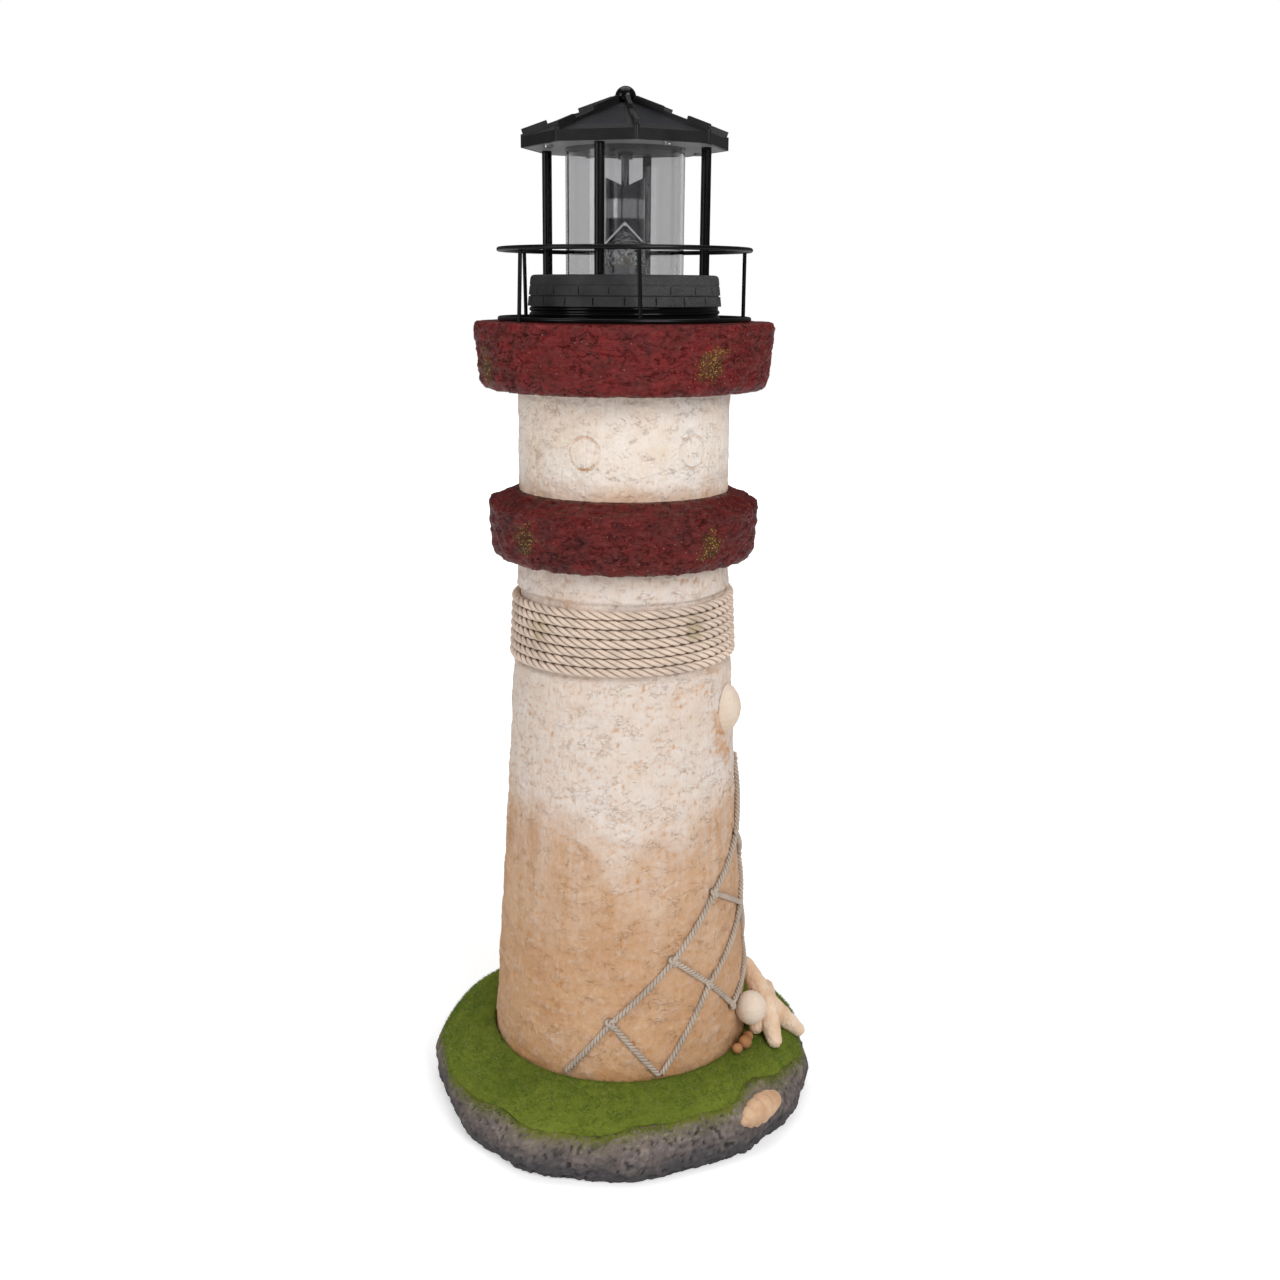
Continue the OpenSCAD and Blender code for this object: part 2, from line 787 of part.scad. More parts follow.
module battery_tray() {
    wall_t = 1.6;
    wall_h = battery_d * 0.75;
    color([0.12, 0.12, 0.12])
        translate([0, tray_y, cover_top_z])
            difference() {
                translate([-tray_l / 2 - wall_t, -tray_w / 2 - wall_t, 0])
                    cube([tray_l + 2 * wall_t, tray_w + 2 * wall_t, tray_t + wall_h]);
                translate([-tray_l / 2, -tray_w / 2, tray_t])
                    cube([tray_l, tray_w, wall_h + 1]);
                for (y = [-1, 1])
                    translate([-tray_l / 4, y * (tray_w / 2 + wall_t / 2) - wall_t, tray_t + wall_h * 0.55])
                        cube([tray_l / 2, 2 * wall_t, wall_h]);
            }
}

module battery() {
    nub_d = 5.4;
    color([0.15, 0.45, 0.25])
        translate([-tray_l / 2 + contact_t + spring_l, tray_y, battery_z])
            rotate([0, 90, 0]) {
                cylinder(d = battery_d, h = battery_l);
                cylinder(d = nub_d, h = battery_l + nub_l);
            }
}

module battery_contacts() {
    plate_w = 9;
    spring_d = 6;
    color([0.75, 0.7, 0.55]) {
        for (x = [-tray_l / 2, tray_l / 2 - contact_t])
            translate([x, tray_y - plate_w / 2, battery_z - plate_w / 2])
                cube([contact_t, plate_w, plate_w]);
        translate([-tray_l / 2 + contact_t / 2, tray_y, battery_z])
            rotate([0, 90, 0])
                cylinder(d = spring_d, h = contact_t / 2 + spring_l);
    }
}

module switch_body() {
    pocket_h = knob_size[2] - knob_drop - cover_t + snug;
    pocket = [knob_size[0] + switch_travel + 2 * snug, knob_size[1] + 2 * snug];
    color([0.75, 0.75, 0.78])
        difference() {
            translate([-switch_size[0] / 2, switch_y - switch_size[1] / 2, cover_top_z])
                cube(switch_size);
            translate([-pocket[0] / 2, switch_y - pocket[1] / 2, cover_top_z - 1])
                cube([pocket[0], pocket[1], pocket_h + 1]);
        }
}

module switch_knob() {
    color([0.05, 0.05, 0.05])
        translate([-knob_size[0] / 2 - switch_travel / 2, switch_y - knob_size[1] / 2, cover_z - knob_drop])
            cube(knob_size);
}

module circuit_board() {
    chip = [9, 7, 1.5];
    can_d = 5;
    can_h = 4;
    color([0.1, 0.35, 0.15])
        translate([0, board_y, board_z])
            union() {
                translate([-board_size[0] / 2, -board_size[1] / 2, 0])
                    cube(board_size);
                translate([-chip[0] / 2 - 6, -chip[1] / 2, -chip[2]])
                    cube([chip[0], chip[1], chip[2] + 0.5]);
                translate([9, 4, -can_h])
                    cylinder(d = can_d, h = can_h + 0.5, $fn = 32);
                translate([9, -6, -can_h])
                    cylinder(d = can_d, h = can_h + 0.5, $fn = 32);
            }
}

// ---- Light ----

module bulb_holder() {
    slots = 12;
    rim = 2;
    slot_w = 2.2;
    color([0.5, 0.5, 0.52])
        translate([0, 0, deck_z])
            difference() {
                cylinder(d = bulb_d + rim, h = holder_h);
                for (i = [0:slots - 1])
                    at_azimuth(360 * i / slots, bulb_d / 2 + rim / 2, holder_h * 0.3)
                        translate([-slot_w / 2, -1, 0])
                            cube([slot_w, 3.2, holder_h]);
            }
}

module led() {
    carrier_d = bulb_d - 6;
    carrier_t = 1.2;
    lamp_d = 5;
    lamp_h = 4;
    color([0.95, 0.9, 0.7])
        translate([0, 0, deck_z + holder_h])
            union() {
                cylinder(d = carrier_d, h = carrier_t);
                cylinder(d = lamp_d, h = carrier_t + lamp_h, $fn = 48);
                translate([0, 0, carrier_t + lamp_h])
                    sphere(d = lamp_d, $fn = 48);
            }
}

module bulb_lens() {
    lens_wall = 1.2;
    cone_h = bulb_d / 2 - lens_tip_r;
    tube_h = bulb_h - cone_h;
    color([0.9, 0.95, 1, 0.4])
        translate([0, 0, deck_z + holder_h])
            rotate_extrude()
                polygon([
                    [bulb_d / 2 - lens_wall, 0], [bulb_d / 2, 0], [bulb_d / 2, tube_h], [lens_tip_r, bulb_h],
                    [0, bulb_h], [0, bulb_h - 2 * lens_wall], [bulb_d / 2 - lens_wall, tube_h - lens_wall / 2]
                ]);
}

module glass_tube() {
    z0 = deck_z - glass_sink + snug;
    h = post_h + 2 * (glass_sink - snug);
    color([0.8, 0.9, 0.95, 0.3])
        translate([0, 0, z0])
            difference() {
                cylinder(r = glass_r, h = h);
                translate([0, 0, -1])
                    cylinder(r = glass_r - glass_wall, h = h + 2);
            }
}

// ---- Lantern head ----

// A fluted post with a spigot at each end
module post(azimuth, bore = 0) {
    color([0.07, 0.07, 0.08])
        translate(place(azimuth, post_circle_r, deck_z))
            difference() {
                union() {
                    cylinder(d = post_d, h = post_h, $fn = 48);
                    translate([0, 0, -spigot_l])
                        cylinder(d = spigot_d, h = post_h + 2 * spigot_l, $fn = 32);
                }
                for (i = [0:post_flutes - 1])
                    rotate([0, 0, 360 * i / post_flutes])
                        translate([post_d / 2 + flute_d / 6, 0, 1])
                            cylinder(d = flute_d, h = post_h - 2, $fn = 24);
                if (bore > 0)
                    translate([0, 0, -spigot_l - 1])
                        cylinder(d = bore, h = post_h + 2 * spigot_l + 2, $fn = 32);
            }
}

module post_front() {
    post(post_azimuths[0]);
}

module post_right() {
    post(post_azimuths[1]);
}

module post_rear() {
    post(post_azimuths[2], wire_d + 2 * snug);
}

module post_left() {
    post(post_azimuths[3]);
}

// A wire through points, with round bends
module wire(points) {
    for (i = [0:len(points) - 2]) {
        run = points[i + 1] - points[i];
        translate(points[i])
            rotate([0, acos(run[2] / norm(run)), atan2(run[1], run[0])])
                cylinder(d = wire_d, h = norm(run), $fn = 24);
        if (i > 0)
            translate(points[i])
                sphere(d = wire_d * 1.15, $fn = 24);
    }
}

// The lead from the solar cells down the rear post to the circuit board
module lead_wire() {
    a = post_azimuths[2];
    color([0.6, 0.1, 0.1])
        wire([
            place(a, cell_wire_r, cell_wire_z),
            place(a, cell_wire_r, plate_top_z + wire_d),
            place(a, post_circle_r, plate_top_z + wire_d),
            place(a, post_circle_r, wire_exit_z),
            place(a, post_circle_r - 10, wire_exit_z),
            [-board_size[0] / 2 + 8, board_y + board_size[1] / 2 - 2, board_top_z + wire_d / 2 + seat_gap]
        ]);
}

module ceiling_plate() {
    color([0.45, 0.45, 0.47])
        difference() {
            union() {
                translate([0, 0, ceiling_z])
                    rotate([0, 0, roof_corner])
                        cylinder(r = eave_r - roof_wall - snug, h = plate_t, $fn = 8);
                translate([0, 0, ceiling_z - hub_h])
                    cylinder(d = hub_d, h = hub_h + 1);
                translate([0, 0, plate_top_z - 1])
                    difference() {
                        cylinder(d = motor_d + 4, h = 7);
                        translate([0, 0, -1])
                            cylinder(d = motor_d + 2 * running_gap, h = 9);
                    }
            }
            translate([0, 0, ceiling_z - hub_h - 1])
                cylinder(d = spindle_d + 2 * seat_gap, h = plate_t + hub_h + 2);
            translate([0, 0, ceiling_z - 1])
                glass_seat(glass_sink + 1);
            for (a = post_azimuths)
                translate(place(a, post_circle_r, ceiling_z - 1))
                    cylinder(d = spigot_d, h = spigot_l + seat_gap + 1, $fn = 32);
            translate(place(post_azimuths[2], post_circle_r, ceiling_z - 1))
                cylinder(d = wire_d + 2 * snug, h = plate_t + 2, $fn = 32);
            for (i = [0:3])
                translate(place(ceiling_screw_azimuth + 90 * i, ceiling_screw_r, ceiling_z - 1))
                    cylinder(d = screw_d, h = plate_t + 2, $fn = 32);
        }
}

module ceiling_screws() {
    head_d = 5.6;
    head_h = 1.4;
    color([0.7, 0.7, 0.7])
        for (i = [0:3])
            translate(place(ceiling_screw_azimuth + 90 * i, ceiling_screw_r, ceiling_z)) {
                cylinder(d = screw_d, h = plate_t + 3, $fn = 32);
                translate([0, 0, -head_h])
                    cylinder(d = head_d, h = head_h, $fn = 32);
            }
}

module motor() {
    color([0.72, 0.72, 0.74])
        translate([0, 0, plate_top_z])
            difference() {
                cylinder(d = motor_d, h = motor_h);
                translate([0, 0, -1])
                    cylinder(d = spindle_d + 2 * running_gap, h = spindle_top_z - plate_top_z + seat_gap + 1);
            }
}

// Eight-sided roof body, grown or shrunk by a wall
module roof_body(inset) {
    rotate([0, 0, roof_corner]) {
        translate([0, 0, ceiling_z - (inset > 0 ? 1 : 0)])
            cylinder(r = eave_r - inset, h = fascia_h + (inset > 0 ? 1 : 0), $fn = 8);
        translate([0, 0, eave_z - 0.001])
            cylinder(r1 = eave_r - inset, r2 = crown_r - inset / 2, h = roof_rise - inset, $fn = 8);
    }
}

// A place on a hip, from the crown (0) to the corner (1)
function hip_place(azimuth, share) =
    place(azimuth, crown_r + (eave_r - crown_r) * share, crown_z - roof_rise * share);

// A fin along a hip, which stands up from the roof by a height
module hip_fin(azimuth, from, to, h) {
    a = hip_place(azimuth, from);
    way = hip_place(azimuth, to) - a;
    translate(a)
        rotate([0, acos(way[2] / norm(way)), atan2(way[1], way[0])])
            translate([-h, -hip_w / 2, 0])
                cube([h + hip_h, hip_w, norm(way)]);
}

// The flat seat of a solar cell on one face of the roof, grown by a gap
module cell_shape(i, gap, h) {
    low = [15, -18];
    high = [4.2, 16];
    at_azimuth(roof_corner + 45 * i + 22.5, (eave_r + crown_r) / 2 * cos(22.5), eave_z + roof_rise / 2)
        rotate([roof_pitch, 0, 0])
            translate([0, 0, -cell_t - gap])
                linear_extrude(h + gap)
                    polygon([
                        [-low[0] - gap, low[1] - gap], [low[0] + gap, low[1] - gap],
                        [high[0] + gap, high[1] + gap], [-high[0] - gap, high[1] + gap]
                    ]);
}

module roof_shell() {
    bead_d = 3.4;
    block_crown = 0.36;
    block_eave = 0.7;
    color([0.09, 0.1, 0.12])
        difference() {
            union() {
                roof_body(0);
                for (i = [0:7]) {
                    azimuth = roof_corner + 45 * i;
                    hip_fin(azimuth, 0, 0.97, hip_h);
                    hip_fin(azimuth, 0, block_crown, hip_block_h);
                    hip_fin(azimuth, block_eave, 0.97, hip_block_h);
                    translate(place(azimuth, eave_r - bead_d / 2, ceiling_z))
                        cylinder(d = bead_d, h = fascia_h + 1.5, $fn = 24);
                }
                for (i = [0:3])
                    translate(place(ceiling_screw_azimuth + 90 * i, ceiling_screw_r, plate_top_z))
                        cylinder(d = screw_boss_d, h = 3);
            }
            difference() {
                roof_body(roof_wall);
                for (i = [0:3])
                    translate(place(ceiling_screw_azimuth + 90 * i, ceiling_screw_r, plate_top_z))
                        cylinder(d = screw_boss_d, h = crown_z - plate_top_z);
            }
            for (i = [0:3])
                translate(place(ceiling_screw_azimuth + 90 * i, ceiling_screw_r, plate_top_z - 1))
                    cylinder(d = screw_d, h = 4, $fn = 32);
            for (i = [0:7])
                cell_shape(i, snug, 5);
            translate(place(post_azimuths[2], cell_wire_r, plate_top_z))
                cylinder(d = wire_d + 2 * snug, h = roof_rise, $fn = 32);
            translate([0, 0, crown_z - finial_peg_l - seat_gap])
                cylinder(d = spigot_d + 2 * snug, h = 2 * finial_peg_l, $fn = 32);
            translate([0, 0, crown_z])
                cylinder(d = finial_seat_d + 2 * snug, h = 2 * hip_block_h);
        }
}

module solar_cell(i) {
    color([0.05, 0.07, 0.16])
        cell_shape(i, 0, cell_t);
}

// The ball, cut flat where it sits on the crown, and its peg
module finial() {
    color([0.08, 0.08, 0.09])
        translate([0, 0, crown_z])
            union() {
                translate([0, 0, -finial_peg_l])
                    cylinder(d = spigot_d, h = 2 * finial_peg_l, $fn = 32);
                difference() {
                    translate([0, 0, ball_d / 2 - ball_sink])
                        sphere(d = ball_d);
                    translate([0, 0, -ball_d])
                        cylinder(d = 2 * ball_d, h = ball_d);
                }
            }
}

module spindle() {
    color([0.2, 0.2, 0.22])
        union() {
            translate([0, 0, spindle_z])
                cylinder(d = spindle_d, h = spindle_top_z - spindle_z, $fn = 48);
            translate([0, 0, ceiling_z - hub_h - seat_gap - collar_h])
                cylinder(d = collar_d, h = collar_h, $fn = 48);
        }
}

// The reflector: a cylinder with a mirror ridge below and a shallow notch above
module reflector() {
    r = reflector_d / 2;
    color([0.6, 0.6, 0.62])
        translate([0, 0, reflector_z])
            difference() {
                cylinder(r = r, h = reflector_h);
                rotate([90, 0, 0])
                    linear_extrude(4 * r, center = true)
                        polygon([[-r - 1, -1], [r + 1, -1], [0, r]]);
                rotate([90, 0, 0])
                    linear_extrude(4 * r, center = true)
                        polygon([[-2 * r, reflector_h + notch_top], [2 * r, reflector_h + notch_top],
                                 [0, reflector_h - notch_top]]);
                translate([0, 0, reflector_h - notch_top - reflector_seat])
                    cylinder(d = spindle_d, h = reflector_seat + notch_top + 1, $fn = 48);
            }
}

rock_base();
moss();
tower_shaft();
lower_ring();
tower_drum();
upper_ring();
rope_band();
net();
starfish();
foot_pebbles();
tower_pebble();
base_pebble();
gallery_rail();
socket_collar();
lantern_base();
seal_ring();
battery_cover();
cover_screws();
battery_tray();
battery();
battery_contacts();
switch_body();
switch_knob();
circuit_board();
bulb_holder();
led();
bulb_lens();
glass_tube();
post_front();
post_right();
post_rear();
post_left();
lead_wire();
ceiling_plate();
ceiling_screws();
motor();
roof_shell();
solar_cell(0);  // solar_cell_1
solar_cell(1);  // solar_cell_2
solar_cell(2);  // solar_cell_3
solar_cell(3);  // solar_cell_4
solar_cell(4);  // solar_cell_5
solar_cell(5);  // solar_cell_6
solar_cell(6);  // solar_cell_7
solar_cell(7);  // solar_cell_8
finial();
spindle();
reflector();
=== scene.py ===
"""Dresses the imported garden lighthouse: cast surfaces, moss, rope, net, relief, solar lantern and studio."""

import math
import random

import bmesh
import bpy
import numpy as np
from bpy.props import FloatProperty, FloatVectorProperty, IntProperty, PointerProperty
from mathutils import Matrix, Vector, noise
from mathutils.bvhtree import BVHTree


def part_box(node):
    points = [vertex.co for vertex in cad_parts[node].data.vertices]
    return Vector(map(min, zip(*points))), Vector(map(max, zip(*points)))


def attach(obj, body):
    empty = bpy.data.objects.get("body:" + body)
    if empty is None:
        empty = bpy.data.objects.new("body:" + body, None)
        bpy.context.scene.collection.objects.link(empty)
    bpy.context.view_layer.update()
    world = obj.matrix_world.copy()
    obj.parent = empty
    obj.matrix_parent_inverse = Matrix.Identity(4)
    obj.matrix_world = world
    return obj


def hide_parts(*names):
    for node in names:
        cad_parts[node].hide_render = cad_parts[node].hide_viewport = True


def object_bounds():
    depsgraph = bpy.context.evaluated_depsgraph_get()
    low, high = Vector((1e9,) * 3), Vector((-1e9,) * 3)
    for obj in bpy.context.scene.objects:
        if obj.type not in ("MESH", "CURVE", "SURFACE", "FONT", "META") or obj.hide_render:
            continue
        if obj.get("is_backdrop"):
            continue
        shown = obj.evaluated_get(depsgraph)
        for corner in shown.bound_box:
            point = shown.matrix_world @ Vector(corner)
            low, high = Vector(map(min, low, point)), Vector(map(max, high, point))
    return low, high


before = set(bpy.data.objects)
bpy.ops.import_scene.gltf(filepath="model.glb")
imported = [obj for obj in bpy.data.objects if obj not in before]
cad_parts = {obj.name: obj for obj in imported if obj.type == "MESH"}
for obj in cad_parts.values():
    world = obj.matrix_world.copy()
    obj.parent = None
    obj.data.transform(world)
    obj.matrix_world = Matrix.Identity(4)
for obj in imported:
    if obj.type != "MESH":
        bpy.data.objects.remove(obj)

bl_info = {
    "name": "Garden Lighthouse",
    "version": (1, 0, 0),
    "blender": (4, 5, 0),
    "location": "3D View > Sidebar > Lighthouse",
    "description": "Finishes a garden lighthouse with a solar lantern, piece by piece",
    "category": "Object",
}

CAD_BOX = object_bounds()
MM = 0.001


# ---- Places and surfaces, in millimetres and degrees ----

FAR = 1000
NUDGES = (0.0, 0.0005, -0.0005, 0.0015)  # turns of a ray, in radians


def place(azimuth, radius, z):
    """A point at an azimuth from the front (0) towards the right (90), a radius and a height."""
    a = math.radians(azimuth)
    return Vector((radius * math.sin(a), -radius * math.cos(a), z))


def span(node):
    """The lowest and the highest z of a CAD node."""
    low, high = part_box(node)
    return low.z / MM, high.z / MM


class Surface:
    """The skin of a CAD node, to lay things on or to follow with a new skin."""

    def __init__(self, node):
        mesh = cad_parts[node].data
        points = [v.co / MM for v in mesh.vertices]
        self.node = node
        self.tree = BVHTree.FromPolygons(points, [tuple(p.vertices) for p in mesh.polygons])

    def cast(self, start, way):
        """The first point along a way, and its normal; turned a hair where it slips through an edge."""
        for nudge in NUDGES:
            turned = Matrix.Rotation(nudge, 3, way.orthogonal()) @ way
            hit, normal, _, _ = self.tree.ray_cast(start, turned)
            if hit is not None:
                break
        return hit, normal

    def side(self, azimuth, z):
        """The outermost point at an azimuth and a height, and its normal."""
        return self.cast(place(azimuth, FAR, z), place(azimuth, -1, 0))

    def side_radius(self, azimuth, z):
        """How far the outermost point is from the tower's axis."""
        hit, _ = self.side(azimuth, z)
        return math.hypot(hit.x, hit.y)

    def top(self, x, y):
        """The topmost point over a place, and its normal."""
        return self.cast(Vector((x, y, FAR)), Vector((0, 0, -1)))


# ---- Meshes ----


def add_values(mesh, name, values):
    """Keeps one value for each point, which a material can read."""
    layer = mesh.attributes.new(name, "FLOAT", "POINT")
    layer.data.foreach_set("value", np.asarray(values, np.float32).ravel())


def shade_smooth(mesh):
    """Turns flat shading off on every face."""
    mesh.polygons.foreach_set("use_smooth", [True] * len(mesh.polygons))


def add_piece(name, mesh, material, body, replaces=()):
    """Puts a mesh into the scene as a piece of the ornament."""
    piece = bpy.data.objects.new(name, mesh)
    bpy.context.scene.collection.objects.link(piece)
    mesh.materials.clear()
    mesh.materials.append(material)
    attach(piece, body)
    if replaces:
        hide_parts(*replaces)
    return piece


def new_piece(name, points, faces, material, body, replaces=(), shade=None):
    """A piece from points in millimetres; its shade is 0 in its hollows and 1 on its heights."""
    mesh = bpy.data.meshes.new(name)
    mesh.from_pydata([Vector(p) * MM for p in points], [], faces)
    mesh.update()
    shade_smooth(mesh)
    if shade is not None:
        add_values(mesh, "shade", shade)
    return add_piece(name, mesh, material, body, replaces)


def tube(path, hints, radius, sides):
    """Points and faces of a round tube along a path, turned by a hint at each point."""
    path = np.asarray(path, float)
    hints = np.asarray(hints, float)
    run = np.gradient(path, axis=0)
    run /= np.linalg.norm(run, axis=1)[:, None]
    out = hints - (hints * run).sum(1)[:, None] * run
    out /= np.linalg.norm(out, axis=1)[:, None]
    side = np.cross(run, out)
    radii = np.broadcast_to(np.asarray(radius, float), (len(path),))
    angles = np.linspace(0, 2 * math.pi, sides, endpoint=False)
    ring = np.cos(angles)[None, :, None] * out[:, None] + np.sin(angles)[None, :, None] * side[:, None]
    points = (path[:, None] + radii[:, None, None] * ring).reshape(-1, 3)
    faces = []
    for i in range(len(path) - 1):
        for j in range(sides):
            k = (j + 1) % sides
            faces.append((i * sides + j, i * sides + k, (i + 1) * sides + k, (i + 1) * sides + j))
    last = (len(path) - 1) * sides
    faces.append(tuple(range(sides))[::-1])
    faces.append(tuple(range(last, last + sides)))
    return points, faces


def gather(parts):
    """Joins several (points, faces, shade) into one."""
    points, faces, shade = [], [], []
    for p, f, s in parts:
        base = len(points)
        points.extend(p)
        faces.extend(tuple(base + i for i in face) for face in f)
        shade.extend(s)
    return points, faces, shade


def laid_rope(path, outward, width, strands, lay, sides, fullness):
    """Strands that twist round a path; their shade value is low in the grooves between them, where the cord's
    finish paints shade.
    """
    path = np.asarray(path, float)
    outward = np.asarray(outward, float)
    run = np.gradient(path, axis=0)
    steps = np.linalg.norm(run, axis=1)
    length = np.cumsum(steps)
    run /= steps[:, None]
    outward = outward - (outward * run).sum(1)[:, None] * run
    outward /= np.linalg.norm(outward, axis=1)[:, None]
    across = np.cross(outward, run)
    strand_r = width / 2 / (1 + 1 / math.sin(math.pi / strands))
    offset = width / 2 - strand_r
    parts = []
    for k in range(strands):
        turn = 2 * math.pi * (length / lay + k / strands)
        spoke = np.cos(turn)[:, None] * outward + np.sin(turn)[:, None] * across
        points, faces = tube(path + offset * spoke, spoke, strand_r * fullness, sides)
        reach = np.linalg.norm(points - np.repeat(path, sides, axis=0), axis=1)
        parts.append((points, faces, np.clip(reach / (width / 2), 0, 1) ** 3))
    return gather(parts)


def remeshed(name, mesh, voxel, rough):
    """Fuses overlapping forms into one skin with a soft roughness."""
    holder = bpy.data.objects.new(name + "_form", mesh)
    bpy.context.scene.collection.objects.link(holder)
    fuse = holder.modifiers.new("Fuse", "REMESH")
    fuse.mode = "VOXEL"
    fuse.voxel_size = voxel * MM
    fuse.use_smooth_shade = True
    soften = holder.modifiers.new("Soften", "SMOOTH")
    soften.iterations = 2
    ready = holder.evaluated_get(bpy.context.evaluated_depsgraph_get())
    fused = bpy.data.meshes.new_from_object(ready)
    fused.name = name
    bpy.data.objects.remove(holder)
    grain = 2.4
    normals = [vertex.normal.copy() for vertex in fused.vertices]
    for vertex, normal in zip(fused.vertices, normals):
        vertex.co += normal * rough * noise.fractal(vertex.co / MM / grain, 0.7, 2.1, 4) * MM
    return fused


def dress(nodes, material):
    """Gives CAD nodes a finish."""
    for node in nodes:
        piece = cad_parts[node]
        piece.data.materials.clear()
        piece.data.materials.append(material)


# ---- Skins of the castings ----

PLAIN_AZIMUTH = 11.13  # clear of every porthole, upright hole and facet edge
OFFSET_AZIMUTH = 0.13  # keeps the rays off the CAD's own edges
CAVITY_DEPTH = 1.1  # difference in height that shades from 0 to 1
CAVITY_REACH = 2  # points of the skin to each side that count as near
SUNK_LEAST, SUNK_MOST = 0.1, 2.0  # how far below the plain wall an engraved place is shaded


class Relief:
    """Unevenness of a hand-made casting: soft lumps, trowelled flats with crisp edges, and small pits."""

    flats_in_depth = 3
    grit_size = 1.1
    pit_size = 3.4
    pit_shift = Vector((9, 2, 5))

    def __init__(self, lump, lump_depth, flat, flat_depth, grit, pit):
        self.lump, self.lump_depth = lump, lump_depth
        self.flat, self.flat_depth = flat, flat_depth
        self.grit, self.pit = grit, pit

    def height(self, p):
        """How far the skin stands out at a point."""
        height = self.lump_depth * noise.fractal(p / self.lump, 0.8, 2.1, 4)
        level = Vector((p.x, p.y, 1.7 * p.z)) / self.flat
        steps = self.flats_in_depth * noise.fractal(level, 0.6, 2.2, 4)
        height += self.flat_depth * (math.floor(steps) + min(1.0, 4 * (steps % 1))) / self.flats_in_depth
        height += self.grit * noise.noise(p / self.grit_size)
        dent = noise.noise(Vector((p.x, p.y, 0.6 * p.z)) / self.pit_size + self.pit_shift)
        height -= self.pit * min(1.0, max(0.0, dent - 0.42) * 8)
        return height


def cavity_shade(heights):
    """From a closed grid of heights: 0 in hollows, 1 on edges, a half on even ground."""
    near = range(-CAVITY_REACH, CAVITY_REACH + 1)
    smooth = np.zeros_like(heights)
    for i in near:
        for j in near:
            smooth += np.roll(heights, (i, j), (0, 1))
    smooth /= len(near) ** 2
    return np.clip(0.5 + (heights - smooth) / CAVITY_DEPTH, 0, 1)


def wall_probes(node, spacing):
    """Rays at a casting's wall: up its outside from afar, and down its bore from the axis, more coarsely."""
    inset = 0.2
    bore_share = 8
    low, high = span(node)
    low, high = low + inset, high - inset
    count = round((high - low) / spacing)
    rise = [low + (high - low) * i / count for i in range(count + 1)]
    return [(FAR, z, -1, 0) for z in rise] + [(0, z, 1, 0) for z in rise[::-bore_share]]


def ring_probes(surface, middle, spacing):
    """Rays from the middle of a ring's section to its whole skin, more coarsely in its bore."""
    fine = 1440
    bore_share = 5
    bore_edge = middle[0] - 2
    rays = [(math.cos(2 * math.pi * i / fine), math.sin(2 * math.pi * i / fine)) for i in range(fine)]
    last, walked, chosen = None, 0.0, []
    for ray in rays:
        hit, _ = surface.cast(place(PLAIN_AZIMUTH, *middle), place(PLAIN_AZIMUTH, *ray))
        walked += (hit - last).length if last else spacing
        last = hit
        in_bore = math.hypot(hit.x, hit.y) < bore_edge
        if walked >= spacing * (bore_share if in_bore else 1):
            chosen.append((*middle, *ray))
            walked = 0.0
    return chosen


def cast_skin(name, surface, probes, steps, relief, material):
    """A closed, uneven skin over a ring-shaped casting, found by rays at each azimuth."""

    def spot(azimuth, probe):
        return surface.cast(place(azimuth, *probe[:2]), place(azimuth, *probe[2:]))

    low, high = (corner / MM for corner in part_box(surface.node))
    plain = [math.hypot(*spot(PLAIN_AZIMUTH, probe)[0].xy) for probe in probes]
    n = len(probes)
    points = []
    heights = np.zeros((steps, n))
    for i in range(steps):
        azimuth = OFFSET_AZIMUTH + 360 * i / steps
        for j, (probe, level) in enumerate(zip(probes, plain)):
            hit, normal = spot(azimuth, probe)
            height = relief.height(hit)
            stood = zip(hit + normal * height, low, high)
            points.append([min(max(value, least), most) for value, least, most in stood])
            sunk = level - math.hypot(hit.x, hit.y) - SUNK_LEAST
            heights[i, j] = height - min(SUNK_MOST, max(0.0, sunk))
    faces = []
    for i in range(steps):
        a, b = i * n, (i + 1) % steps * n
        for j in range(n):
            k = (j + 1) % n
            faces.append((a + j, b + j, b + k, a + k))
    return new_piece(name, points, faces, material, "tower", [surface.node], cavity_shade(heights))


# ---- Shader groups ----

GROUPS = {}
SOCKETS = {
    "Color": "NodeSocketColor",
    "Light": "NodeSocketColor",
    "Dark": "NodeSocketColor",
    "Place": "NodeSocketVector",
    "Stretch": "NodeSocketVector",
}


